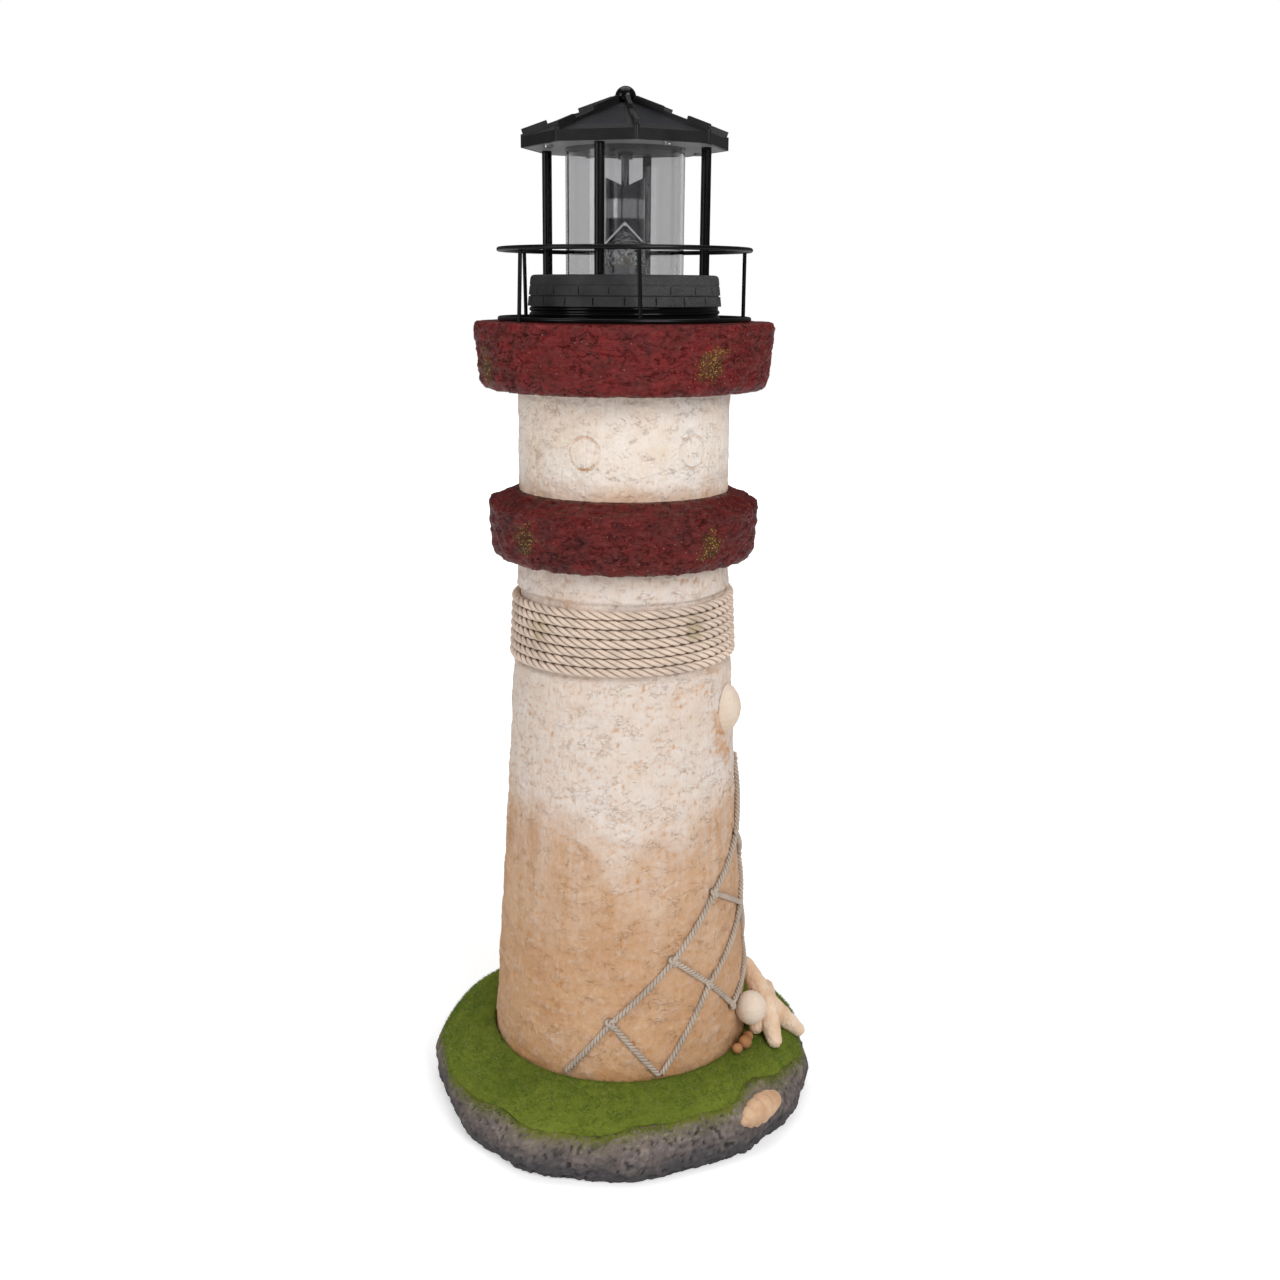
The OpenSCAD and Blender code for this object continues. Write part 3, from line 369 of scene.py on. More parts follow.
class Tree:
    """Adds nodes to a shader tree and joins them."""

    def __init__(self, tree):
        self.tree = tree

    def feed(self, socket, value):
        """Joins a node's output to a socket, or sets its value; a colour gets full alpha."""
        if isinstance(value, bpy.types.NodeSocket):
            self.tree.links.new(value, socket)
        elif socket.type == "RGBA":
            socket.default_value = (*value[:3], 1.0)
        else:
            socket.default_value = value

    def add(self, kind, inputs=None, **settings):
        """A new node; an input's value is a number, a colour or another node's output."""
        node = self.tree.nodes.new(kind)
        for key, value in settings.items():
            setattr(node, key, value)
        for key, value in (inputs or {}).items():
            self.feed(node.inputs[key], value)
        return node

    def use(self, group, **inputs):
        """One of the shader groups, with its own values."""
        node = self.add("ShaderNodeGroup", node_tree=GROUPS[group])
        for key, value in inputs.items():
            self.feed(node.inputs[key], value)
        return node.outputs[0]

    def spot(self):
        """Coordinates fixed to the piece."""
        return self.add("ShaderNodeTexCoord").outputs["Object"]

    def axes(self):
        """The coordinates one by one, as X, Y and Z."""
        return self.add("ShaderNodeSeparateXYZ", {0: self.spot()}).outputs

    def value_of(self, name):
        """A value that the mesh keeps for each point."""
        return self.add("ShaderNodeAttribute", attribute_name=name).outputs["Fac"]

    def shade(self):
        """The piece's own shade: 0 in its hollows, 1 on its heights."""
        return self.value_of("shade")

    def vector(self, operation, a, b=(0.0, 0.0, 0.0)):
        """One calculation with two vectors; gives the node's outputs."""
        return self.add("ShaderNodeVectorMath", {0: a, 1: b}, operation=operation).outputs

    def math(self, operation, a, b=0.0):
        """One calculation with two values."""
        return self.add("ShaderNodeMath", {0: a, 1: b}, operation=operation).outputs[0]

    def plus(self, a, b):
        """The sum of two values."""
        return self.math("ADD", a, b)

    def minus(self, a, b):
        """One value less another."""
        return self.math("SUBTRACT", a, b)

    def times(self, a, b):
        """One value times another."""
        return self.math("MULTIPLY", a, b)

    def most(self, value, *others):
        """The highest of several values."""
        for other in others:
            value = self.math("MAXIMUM", value, other)
        return value

    def remap(self, value, low, high, to_low=0.0, to_high=1.0):
        """A value moved from one range to another, and held inside it."""
        values = {"Value": value, "From Min": low, "From Max": high, "To Min": to_low, "To Max": to_high}
        return self.add("ShaderNodeMapRange", values).outputs["Result"]

    def mix(self, share, a, b, blend="MIX"):
        """Two colours mixed by a share."""
        colours = {0: share, 6: a, 7: b}  # the node's sockets for colours
        return self.add("ShaderNodeMix", colours, data_type="RGBA", blend_type=blend).outputs[2]

    def noise(self, vector, scale, detail=4.0, rough=0.55, distort=0.0):
        """Cloudy noise."""
        inputs = {"Vector": vector, "Scale": scale, "Detail": detail, "Roughness": rough}
        return self.add("ShaderNodeTexNoise", {**inputs, "Distortion": distort}).outputs["Fac"]


def shader_group(name, inputs, output):
    """An empty shader group with named sockets; gives its tree, its inputs and the socket of its result."""
    group = bpy.data.node_groups.new(name, "ShaderNodeTree")
    for label, side in [(label, "INPUT") for label in inputs] + [(output, "OUTPUT")]:
        kind = SOCKETS.get(label, "NodeSocketFloat")
        group.interface.new_socket(name=label, in_out=side, socket_type=kind)
    given = group.nodes.new("NodeGroupInput").outputs
    return Tree(group), given, group.nodes.new("NodeGroupOutput").inputs[0]


def mottle_group():
    """Two tones in soft patches."""
    t, given, end = shader_group("Mottle", ("Scale", "Light", "Dark", "Spread"), "Color")
    cloud = t.noise(t.spot(), given["Scale"], 6.0, 0.62)
    share = t.remap(cloud, t.minus(0.5, given["Spread"]), t.plus(0.5, given["Spread"]))
    t.feed(end, t.mix(share, given["Light"], given["Dark"]))
    return t.tree


def cracks_group():
    """Thin wandering lines, mostly level, in patches."""
    t, given, end = shader_group("Cracks", ("Scale", "Width", "Cover"), "Mask")
    level = (1.0, 1.0, 1.9)
    spot = t.vector("MULTIPLY", t.spot(), level)[0]
    line = t.math("ABSOLUTE", t.minus(t.noise(spot, given["Scale"], 5.0, 0.6, 0.4), 0.5))
    thin = t.minus(1.0, t.remap(line, 0.0, given["Width"]))
    patch = t.noise(spot, t.times(given["Scale"], 0.5), 2.0)
    cover = t.remap(patch, t.minus(0.62, given["Cover"]), t.minus(0.7, given["Cover"]))
    t.feed(end, t.times(thin, cover))
    return t.tree


def grain_group():
    """The height of a gritty cast or moulded surface."""
    t, given, end = shader_group("Grain", ("Scale", "Grit"), "Height")
    spot = t.spot()
    broad = t.noise(spot, given["Scale"], 7.0, 0.65)
    fine = t.noise(spot, t.times(given["Scale"], 4.3), 2.0, 0.7)
    t.feed(end, t.plus(broad, t.times(fine, given["Grit"])))
    return t.tree


def fade_group():
    """A ragged change with height, 0 below Low and 1 above High; Slant makes it climb to both sides."""
    t, given, end = shader_group("Height Fade", ("Low", "High", "Ragged", "Scale", "Slant"), "Mask")
    axes = t.axes()
    height = t.minus(axes["Z"], t.times(t.math("ABSOLUTE", axes["X"]), given["Slant"]))
    wave = t.minus(t.noise(t.spot(), given["Scale"], 6.0, 0.65), 0.5)
    ragged = t.plus(height, t.times(wave, given["Ragged"]))
    t.feed(end, t.remap(ragged, given["Low"], given["High"]))
    return t.tree


def specks_group():
    """Small scattered dots."""
    t, given, end = shader_group("Specks", ("Scale", "Size", "Cover"), "Mask")
    cell = t.add("ShaderNodeTexVoronoi", {"Vector": t.spot(), "Scale": given["Scale"]}).outputs
    dot = t.minus(1.0, t.remap(cell["Distance"], t.times(given["Size"], 0.6), given["Size"]))
    chance = t.add("ShaderNodeSeparateColor", {0: cell["Color"]}).outputs[0]
    t.feed(end, t.times(dot, t.math("LESS_THAN", chance, given["Cover"])))
    return t.tree


def stain_group():
    """A ragged patch round one place."""
    t, given, end = shader_group("Stain", ("Place", "Radius", "Scale"), "Mask")
    gap = t.vector("DISTANCE", t.spot(), given["Place"])["Value"]
    wave = t.remap(t.noise(t.spot(), given["Scale"], 5.0), 0.3, 0.7, 0.5, 1.6)
    share = t.math("DIVIDE", t.times(gap, wave), given["Radius"])
    t.feed(end, t.remap(share, 1.0, 0.5))
    return t.tree


def streaks_group():
    """Brush marks drawn out along one way."""
    t, given, end = shader_group("Streaks", ("Stretch", "Scale"), "Mask")
    drawn = t.vector("MULTIPLY", t.spot(), given["Stretch"])[0]
    t.feed(end, t.remap(t.noise(drawn, given["Scale"], 4.0, 0.6), 0.35, 0.65))
    return t.tree


def shader_groups():
    """Builds every shader group once."""
    makers = (mottle_group, cracks_group, grain_group, fade_group, specks_group, stain_group, streaks_group)
    GROUPS.update({make.__name__.removesuffix("_group"): make() for make in makers})


# ---- Finishes ----

FLANGE_RISE = 7.4  # from the top of the rubber ring up to the flange under the bricks


def finish(name, roughness=0.5, metallic=0.0, ior=1.45, transmission=0.0, specular=0.5):
    """A new material with one shader; its even values are set on the shader itself."""
    material = bpy.data.materials.new(name)
    material.use_nodes = True
    shader = material.node_tree.nodes["Principled BSDF"]
    shader.inputs["Roughness"].default_value = roughness
    shader.inputs["Metallic"].default_value = metallic
    shader.inputs["IOR"].default_value = ior
    shader.inputs["Specular IOR Level"].default_value = specular
    shader.inputs["Transmission Weight"].default_value = transmission
    return material, Tree(material.node_tree), shader


def paint(t, shader, colour, height=None, strength=0.5, distance=0.3):
    """Gives a shader its colour and its bump, the bump's distance in millimetres."""
    t.feed(shader.inputs["Base Color"], colour)
    if height is not None:
        bump = t.add("ShaderNodeBump", {"Strength": strength, "Distance": distance * MM, "Height": height})
        t.feed(shader.inputs["Normal"], bump.outputs["Normal"])


def tuned(colour, *shares):
    """A colour times one share, or times one share for each channel."""
    if len(shares) == 1:
        shares = shares * 3
    return [channel * share for channel, share in zip(colour, shares)]


def stain_masks(t, stains, scale):
    """A mask for each stain; a stain is an azimuth, a radius, a height and its own reach."""
    for azimuth, radius, z, reach in stains:
        yield t.use("stain", Place=place(azimuth, radius, z) * MM, Radius=reach * MM, Scale=scale)


def cream_wash(name, low, high, pale, tan, foot, stains=()):
    """A matt wash, tan at the foot and paler above, with rust in hollows, in cracks and at its foot."""
    material, t, shader = finish(name, roughness=0.85, specular=0.2)

    # How far the pale wash hides the tan: in clouds, in drips and in a thin haze.
    cloudy = t.use("fade", Low=low, High=high, Ragged=0.11, Scale=24.0, Slant=0.35)
    drips = t.use("streaks", Stretch=(1.0, 1.0, 0.08), Scale=75.0)
    drip_reach = t.use("fade", Low=low - 0.07, High=high, Ragged=0.05, Scale=40.0)
    haze = t.remap(t.noise(t.spot(), 60.0, 7.0, 0.7), 0.5, 0.72, to_high=0.4)
    rise = t.most(cloudy, haze, t.times(t.times(drips, drip_reach), 0.6))

    # A thinner and a fuller coat in patches, brushed, warmer in places and dry on the heights.
    light = t.mix(rise, tan, pale)
    deep = t.mix(rise, tuned(tan, 0.84, 0.72, 0.6), tuned(pale, 0.95, 0.86, 0.76))
    patchy = t.use("mottle", Scale=30.0, Light=light, Dark=deep, Spread=0.2)
    streaks = t.use("streaks", Stretch=(1.0, 1.0, 0.22), Scale=420.0)
    brushed = t.mix(t.times(streaks, 0.3), patchy, t.mix(1.0, patchy, (0.88, 0.8, 0.72), "MULTIPLY"))
    warm = t.remap(t.noise(t.spot(), 19.0, 6.0, 0.65), 0.54, 0.7, to_high=0.4)
    warmed = t.mix(warm, brushed, tuned(tan, 1.15))
    chalk = [1 - (1 - channel) * 0.55 for channel in pale]
    dry = t.mix(t.times(t.remap(t.shade(), 0.56, 0.9), 0.22), warmed, chalk)

    # Rust in cracks, flecks and hollows, in a band at the foot, and in the stains.
    cracks = t.use("cracks", Scale=70.0, Width=0.009, Cover=0.09)
    hair = t.use("cracks", Scale=210.0, Width=0.02, Cover=0.09)
    flecks = t.use("specks", Scale=260.0, Size=0.3, Cover=0.12)
    lines = t.most(t.times(cracks, 0.7), t.times(hair, 0.6))
    uneven = t.remap(t.noise(t.spot(), 24.0, 3.0), 0.4, 0.62, 0.4)
    in_hollows = t.times(t.remap(t.shade(), 0.44, 0.12), uneven)
    foot_band = 14
    clean = t.use("fade", Low=foot * MM, High=(foot + foot_band) * MM, Ragged=0.04, Scale=55.0)
    rust = t.most(lines, t.times(flecks, 0.5), in_hollows, t.remap(clean, 1.0, 0.0, to_high=0.6))
    for stain in stain_masks(t, stains, 120.0):
        rust = t.most(rust, t.times(stain, t.remap(t.shade(), 0.75, 0.3, 0.25)))
    rusty = t.mix(t.times(rust, 0.8), dry, bpy.context.scene.lighthouse_colours.rust)

    grain = t.use("grain", Scale=240.0, Grit=0.4)
    height = t.minus(t.plus(grain, t.times(streaks, 0.4)), t.times(lines, 0.45))
    paint(t, shader, rusty, height, 0.9, 1.0)
    return material


def red_paint(name, tone, stains):
    """Worn, waxy dark red paint: brown where it is rubbed, bright in places, dark in its cracks, with painted
    shade in its hollows and flecks of old gilt.
    """
    material, t, shader = finish(name, roughness=0.24, specular=0.32)
    red = tuned(bpy.context.scene.lighthouse_colours.red, tone)
    body = t.use("mottle", Scale=34.0, Light=red, Dark=tuned(red, 0.4, 0.6, 0.6), Spread=0.22)
    lively = t.use("mottle", Scale=95.0, Light=body, Dark=tuned(red, 2.1, 0.8, 0.9), Spread=0.24)
    streaks = t.use("streaks", Stretch=(0.4, 0.4, 1.5), Scale=300.0)
    dusty = t.mix(t.times(streaks, 0.08), lively, (0.16, 0.08, 0.06))
    lightened = t.mix(t.remap(t.shade(), 0.6, 1.0, to_high=0.3), dusty, (0.19, 0.06, 0.045))
    cracks = t.use("cracks", Scale=110.0, Width=0.014, Cover=0.2)
    # deep: dark in the cracks, and painted shade darkening the hollows.
    deep = t.most(t.times(cracks, 0.6), t.remap(t.shade(), 0.4, 0.1, to_high=0.55))
    hollow_shaded = t.mix(deep, lightened, (0.02, 0.004, 0.004))
    specks = t.use("specks", Scale=760.0, Size=0.3, Cover=0.03)
    dotted = t.mix(t.times(specks, 0.6), hollow_shaded, (0.45, 0.28, 0.22))
    flecks = t.use("specks", Scale=1100.0, Size=0.45, Cover=0.35)
    for stain in stain_masks(t, stains, 160.0):
        dotted = t.mix(t.times(stain, 0.6), dotted, (0.075, 0.045, 0.008))
        dotted = t.mix(t.times(stain, flecks), dotted, (0.55, 0.38, 0.08))
    grain = t.use("grain", Scale=300.0, Grit=0.35)
    height = t.minus(t.plus(grain, t.times(streaks, 0.5)), t.times(cracks, 1.1))
    paint(t, shader, dotted, height, 1.0, 1.1)
    return material


def rock_paint():
    """Grey-brown rock, dark near the ground, with scuffed edges, painted shade in its pits and hollows, and
    green dust under the moss.
    """
    look = bpy.context.scene.lighthouse_colours
    material, t, shader = finish("rock_paint", roughness=0.8, specular=0.25)
    tone = t.use("mottle", Scale=17.0, Light=look.rock, Dark=(0.12, 0.108, 0.108), Spread=0.3)
    shadowed = t.mix(0.45, tone, (0.05, 0.05, 0.055))
    varied = t.use("mottle", Scale=90.0, Light=tone, Dark=shadowed, Spread=0.25)
    rise = t.use("fade", Low=0.01, High=0.034, Ragged=0.034, Scale=30.0)
    banded = t.mix(rise, look.rock_foot, varied)
    scuffs = t.use("streaks", Stretch=(1.0, 1.0, 0.4), Scale=520.0)
    rubbed = t.most(t.remap(t.shade(), 0.55, 0.85), t.times(scuffs, 0.5))
    scuffed = t.mix(t.times(rubbed, t.remap(rise, 0.0, 1.0, 0.1, 0.5)), banded, (0.4, 0.33, 0.3))
    # Painted shade: the pits and hollows darken towards near black.
    hollow_shaded = t.mix(t.remap(t.shade(), 0.4, 0.1, to_high=0.6), scuffed, (0.022, 0.02, 0.022))
    dust = t.value_of("dust")
    clumps = t.plus(t.noise(t.spot(), 420.0, 4.0, 0.75), t.times(dust, 0.25))
    green = t.times(t.remap(dust, 0.1, 0.75), t.remap(clumps, 0.54, 0.68))
    dusted = t.mix(green, hollow_shaded, tuned(look.moss, 0.36))
    grain = t.use("grain", Scale=200.0, Grit=0.35)
    paint(t, shader, dusted, t.plus(grain, t.times(scuffs, 0.25)), 0.6, 0.5)
    return material


def moss_green(name, light, dark):
    """Green flock: pale dust where the shade is low, and from dark to bright green above that; the dark end is
    painted shade at the fibres' roots and in the bed.
    """
    material, t, shader = finish(name, roughness=0.95, specular=0.1)
    broad = t.use("mottle", Scale=20.0, Light=light, Dark=tuned(light, 0.5), Spread=0.25)
    green = t.mix(t.remap(t.shade(), 0.35, 1.0), dark, broad)
    paint(t, shader, t.mix(t.remap(t.shade(), 0.15, 0.35), (0.36, 0.33, 0.24), green))
    return material


def cord_fibre(name, light, groove_shade, stains=()):
    """Washed cord: pale on the strands, painted shade in the grooves between them, olive where it is stained.
    """
    material, t, shader = finish(name, roughness=0.9, specular=0.15)
    fibres = t.use("mottle", Scale=55.0, Light=light, Dark=tuned(light, 0.72), Spread=0.16)
    # Painted shade: the grooves between the strands take the darker groove colour.
    groove_shaded_cord = t.mix(t.remap(t.shade(), 0.25, 0.8), groove_shade, fibres)
    for stain in stain_masks(t, stains, 150.0):
        groove_shaded_cord = t.mix(t.times(stain, 0.4), groove_shaded_cord, (0.3, 0.25, 0.08))
    paint(t, shader, groove_shaded_cord, t.use("grain", Scale=900.0, Grit=0.6), 0.5, 0.25)
    return material


def cast_stone(name, light, dark, scale, grit=0.4, bump=0.3):
    """Bare or tinted cast stone in two tones, with small pits darkened by painted shade."""
    material, t, shader = finish(name, roughness=0.8)
    tone = t.use("mottle", Scale=scale, Light=light, Dark=dark, Spread=0.15)
    pits = t.use("specks", Scale=500.0, Size=0.25, Cover=0.08)
    # Painted shade: the small pits take a darker copy of the stone's colour.
    pit_shaded = t.mix(t.times(pits, 0.5), tone, tuned(dark, 0.45))
    grain = t.use("grain", Scale=420.0, Grit=grit)
    paint(t, shader, pit_shaded, t.minus(grain, pits), 0.5, bump)
    return material


def moulded(name, light, dark, roughness, **kind):
    """Moulded plastic, rubber or metal in two close tones with a fine grain."""
    material, t, shader = finish(name, roughness=roughness, **kind)
    tone = t.use("mottle", Scale=90.0, Light=light, Dark=dark, Spread=0.2)
    paint(t, shader, tone, t.use("grain", Scale=1500.0, Grit=0.4), 0.35, 0.05)
    return material


def brick_plastic():
    """Black moulded bricks with a painted silver-grey highlight on the right side, and gloss on the neck
    below.
    """
    material, t, shader = finish("brick_plastic", roughness=0.42, specular=0.2)
    tone = t.use("mottle", Scale=60.0, Light=(0.045, 0.043, 0.046), Dark=(0.02, 0.02, 0.021), Spread=0.2)
    gloss_top = (span("seal_ring")[1] + FLANGE_RISE - 0.1) * MM
    matt = t.use("fade", Low=gloss_top, High=gloss_top + 0.6 * MM, Scale=1.0)
    # Painted highlight: a silver-grey speckle on the right side of the bricks only.
    right = t.remap(t.axes()["X"], 0.0, 0.055)
    highlight_speckle = t.remap(t.noise(t.spot(), 2600.0, 2.0), 0.48, 0.62)
    silver = t.times(t.times(right, matt), highlight_speckle)
    lightened = t.mix(t.times(silver, 0.6), tone, (0.22, 0.22, 0.22))
    t.feed(shader.inputs["Roughness"], t.remap(matt, 0.0, 1.0, 0.16, 0.46))
    grain = t.use("grain", Scale=800.0, Grit=0.5)
    paint(t, shader, t.mix(matt, (0.003, 0.003, 0.003), lightened), t.times(grain, matt), 0.5, 0.2)
    return material


def clear(name, tint, facets=0.0, bump=0.0, roughness=0.0):
    """Clear glass or plastic; facets is how finely it is cut, and bump how deep."""
    material, t, shader = finish(name, roughness=roughness, ior=1.46, transmission=1.0)
    tone = t.use("mottle", Scale=20.0, Light=tint, Dark=tuned(tint, 0.97), Spread=0.2)
    cut = None
    if bump:
        cut = t.add("ShaderNodeTexVoronoi", {"Vector": t.spot(), "Scale": facets}).outputs["Distance"]
    paint(t, shader, tone, cut, 0.9, bump)
    return material


def solar_cell():
    """Dark cell under resin, with fine silver lines."""
    material, t, shader = finish("solar_cell", roughness=0.3, specular=0.25)
    tone = t.use("mottle", Scale=180.0, Light=(0.01, 0.011, 0.015), Dark=(0.006, 0.006, 0.008), Spread=0.15)
    half_pitch, half_line = 0.9 * MM, 0.07 * MM
    line = t.math("LESS_THAN", t.math("PINGPONG", t.axes()["Z"], half_pitch), half_line)
    paint(t, shader, t.mix(t.times(line, 0.35), tone, (0.16, 0.17, 0.2)))
    return material


def beacon_chrome():
    """Mirror chrome with painted reflections: dark, with a brighter belt."""
    belt_rise, belt_height = 13.5, 11
    material, t, shader = finish("beacon_chrome", roughness=0.09, metallic=1.0)
    foot = span("reflector")[0] + belt_rise
    edges = [(foot + rise) * MM for rise in (0, belt_height)]
    over_foot, over_top = (
        t.use("fade", Low=edge, High=edge + MM, Ragged=0.0008, Scale=300.0) for edge in edges
    )
    tone = t.use("mottle", Scale=150.0, Light=(0.08, 0.08, 0.085), Dark=(0.03, 0.03, 0.034), Spread=0.2)
    # Painted reflection: a brighter belt between two dark bands, as the mirror would reflect its surroundings.
    painted_reflection = t.mix(t.minus(over_foot, over_top), tone, (0.36, 0.36, 0.37))
    paint(t, shader, painted_reflection, t.use("grain", Scale=160.0, Grit=0.1), 0.2, 0.2)
    return material


# ---- User values ----


def tint(label, text, value):
    """A colour a user may change."""
    return FloatVectorProperty(
        name=label, description=text, default=value, subtype="COLOR", size=3, min=0, max=1
    )


def count(label, text, value, low, high):
    """A whole number a user may change."""
    return IntProperty(name=label, description=text, default=value, min=low, max=high)


def length(label, text, value, low, high):
    """A length in metres a user may change."""
    return FloatProperty(name=label, description=text, default=value, min=low, max=high, unit="LENGTH")


def angle(label, text, degrees, low, high):
    """An angle a user may change, between limits in radians."""
    value = math.radians(degrees)
    return FloatProperty(name=label, description=text, default=value, min=low, max=high, subtype="ANGLE")


class LighthouseColours(bpy.types.PropertyGroup):
    """Colours of the ornament."""

    cream: tint("Cream Wash", "Wash on the upper tower", (0.8, 0.725, 0.68))
    tan: tint("Tan Wash", "Wash at the foot of the tower", (0.64, 0.41, 0.25))
    white: tint("White Wash", "Wash on the drum", (0.92, 0.86, 0.81))
    rust: tint("Rust Stain", "Stain in cracks and hollows", (0.56, 0.25, 0.07))
    red: tint("Ring Red", "Paint of the two rings", (0.108, 0.011, 0.01))
    rock: tint("Rock", "Side of the rock", (0.33, 0.225, 0.18))
    rock_foot: tint("Rock Foot", "Band of the rock near the ground", (0.062, 0.059, 0.063))
    moss: tint("Moss", "Green of the moss", (0.35, 0.385, 0.05))
    rope: tint("Rope", "Washed rope round the tower", (0.86, 0.7, 0.58))
    net: tint("Net", "Washed cord of the net", (0.56, 0.47, 0.39))


class LighthouseSizes(bpy.types.PropertyGroup):
    """Sizes and counts of the visible detail."""

    rope_strands: count("Rope Strands", "Strands in the rope", 3, 2, 4)
    rope_lay: length("Rope Lay", "Length of one twist of the rope", 0.021, 0.01, 0.03)
    moss_fibres: count("Moss Fibres", "Fibres of the moss", 52000, 2000, 80000)
    moss_length: length("Moss Length", "Length of a moss fibre", 0.0026, 0.001, 0.005)
    cast_relief: length("Cast Relief", "Unevenness of the castings", 0.0005, 0, 0.001)
    camera_height: length("Camera Height", "Height of the camera over the ground", 0.5387, 0.1, 2)
    camera_distance: length("Camera Distance", "Distance of the camera from the tower", 0.876, 0.4, 4)
    camera_tilt: angle("Camera Tilt", "Tilt of the camera below level", 14.3, 0, 1)
    camera_roll: angle("Camera Roll", "Turn of the camera about its own view", 0.32, -0.1, 0.1)


# ---- Castings ----


class LIGHTHOUSE_OT_castings(bpy.types.Operator):
    """Gives the shaft, the rings and the drum their uneven painted skins"""

    bl_idname = "lighthouse.castings"
    bl_label = "Castings"

    def execute(self, context):
        depth = context.scene.lighthouse_sizes.cast_relief / MM
        self.walls(context.scene.lighthouse_colours, depth)
        self.rings(depth)
        return {"FINISHED"}

    def walls(self, look, depth):
        """The shaft, tan below and cream above, and the drum, white all over."""
        fade_low, fade_high = 0.172, 0.214
        no_fade = (-0.6, -0.5)
        rust_start = span("moss")[1] - 4
        pebble_z = span("tower_pebble")[1]
        below_pebble = [(57, 72, pebble_z - 20, 9), (60, 73, pebble_z - 34, 12), (66, 74, pebble_z - 46, 10)]
        cream = cream_wash("cream_wash", fade_low, fade_high, look.cream, look.tan, rust_start, below_pebble)
        relief = Relief(18, 1.5 * depth, 17, 1.2 * depth, grit=0.12, pit=0.35)
        probes = wall_probes("tower_shaft", 1.4)
        cast_skin("shaft_skin", Surface("tower_shaft"), probes, 400, relief, cream)

        white = cream_wash("white_wash", *no_fade, look.white, look.tan, span("lower_ring")[1])
        relief = Relief(11, 0.8 * depth, 13, 1.1 * depth, grit=0.08, pit=0.3)
        probes = wall_probes("tower_drum", 0.55)
        cast_skin("drum_skin", Surface("tower_drum"), probes, 760, relief, white)

    def rings(self, depth):
        """The two red rings, each with two patches of old gilt."""
        lower = span("lower_ring")[0]
        upper = span("upper_ring")[0]
        lower_red = red_paint("lower_red", 0.78, [(-44, 84, lower + 19, 10), (38, 84, lower + 17, 10)])
        upper_red = red_paint("upper_red", 1.0, [(33, 92, upper + 18, 12), (-66, 92, upper + 14, 14)])
        relief = Relief(11, 2.0 * depth, 8, 1.6 * depth, grit=0.26, pit=0.4)
        rings = (
            ("lower_ring", (72, lower + 18), 480, lower_red),
            ("upper_ring", (74.3, upper + 14.2), 520, upper_red),
        )
        for node, middle, steps, red in rings:
            surface = Surface(node)
            probes = ring_probes(surface, middle, 0.9)
            cast_skin(node + "_skin", surface, probes, steps, relief, red)


class LIGHTHOUSE_OT_rock(bpy.types.Operator):
    """Makes the craggy rock under the tower"""

    bl_idname = "lighthouse.rock"
    bl_label = "Rock"

    def execute(self, context):
        middle = (98.3, 17.2)
        dust_reach = 8.0
        surface = Surface("rock_base")
        relief = Relief(21, 1.6, 17, 1.1, grit=0.15, pit=2.2)
        probes = ring_probes(surface, middle, 1.2)
        rock = cast_skin("rock_skin", surface, probes, 560, relief, rock_paint())
        moss = Surface("moss").tree
        gaps = [moss.find_nearest(vertex.co / MM)[3] for vertex in rock.data.vertices]
        add_values(rock.data, "dust", np.exp(-np.array(gaps) / dust_reach))
        return {"FINISHED"}


# ---- Moss ----

MOSS_INNER, MOSS_OUTER = 87.2, 127.0  # radii between which fibres stand
FIBRE_ROOT = 0.4  # how deep a fibre starts in the bed
FIBRE_HALF = 0.17
STRAY_REACH = 5  # how far fibres stray from the moss onto the rock


def moss_skin(material):
    """The bed of the moss: the CAD skin, finer and with a soft unevenness."""
    mesh = bpy.data.meshes.new("moss_bed")
    form = bmesh.new()
    form.from_mesh(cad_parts["moss"].data)
    bmesh.ops.remove_doubles(form, verts=form.verts, dist=0.01 * MM)
    bmesh.ops.subdivide_edges(form, edges=form.edges, cuts=3, use_grid_fill=True)
    form.normal_update()
    moves = []
    for vertex in form.verts:
        spot = vertex.co / MM
        height = 0.45 * noise.fractal(spot / 2.2, 0.8, 2.0, 3) + 0.5 * noise.noise(spot / 9)
        moves.append(vertex.normal * height * MM)
    for vertex, move in zip(form.verts, moves):
        vertex.co += move
    form.to_mesh(mesh)
    form.free()
    # The bed's shade value of 0.75 mixes in the dark green, painted shade under the fibres.
    add_values(mesh, "shade", np.full(len(mesh.vertices), 0.75))
    shade_smooth(mesh)
    return add_piece("moss_bed", mesh, material, "tower", ["moss"])


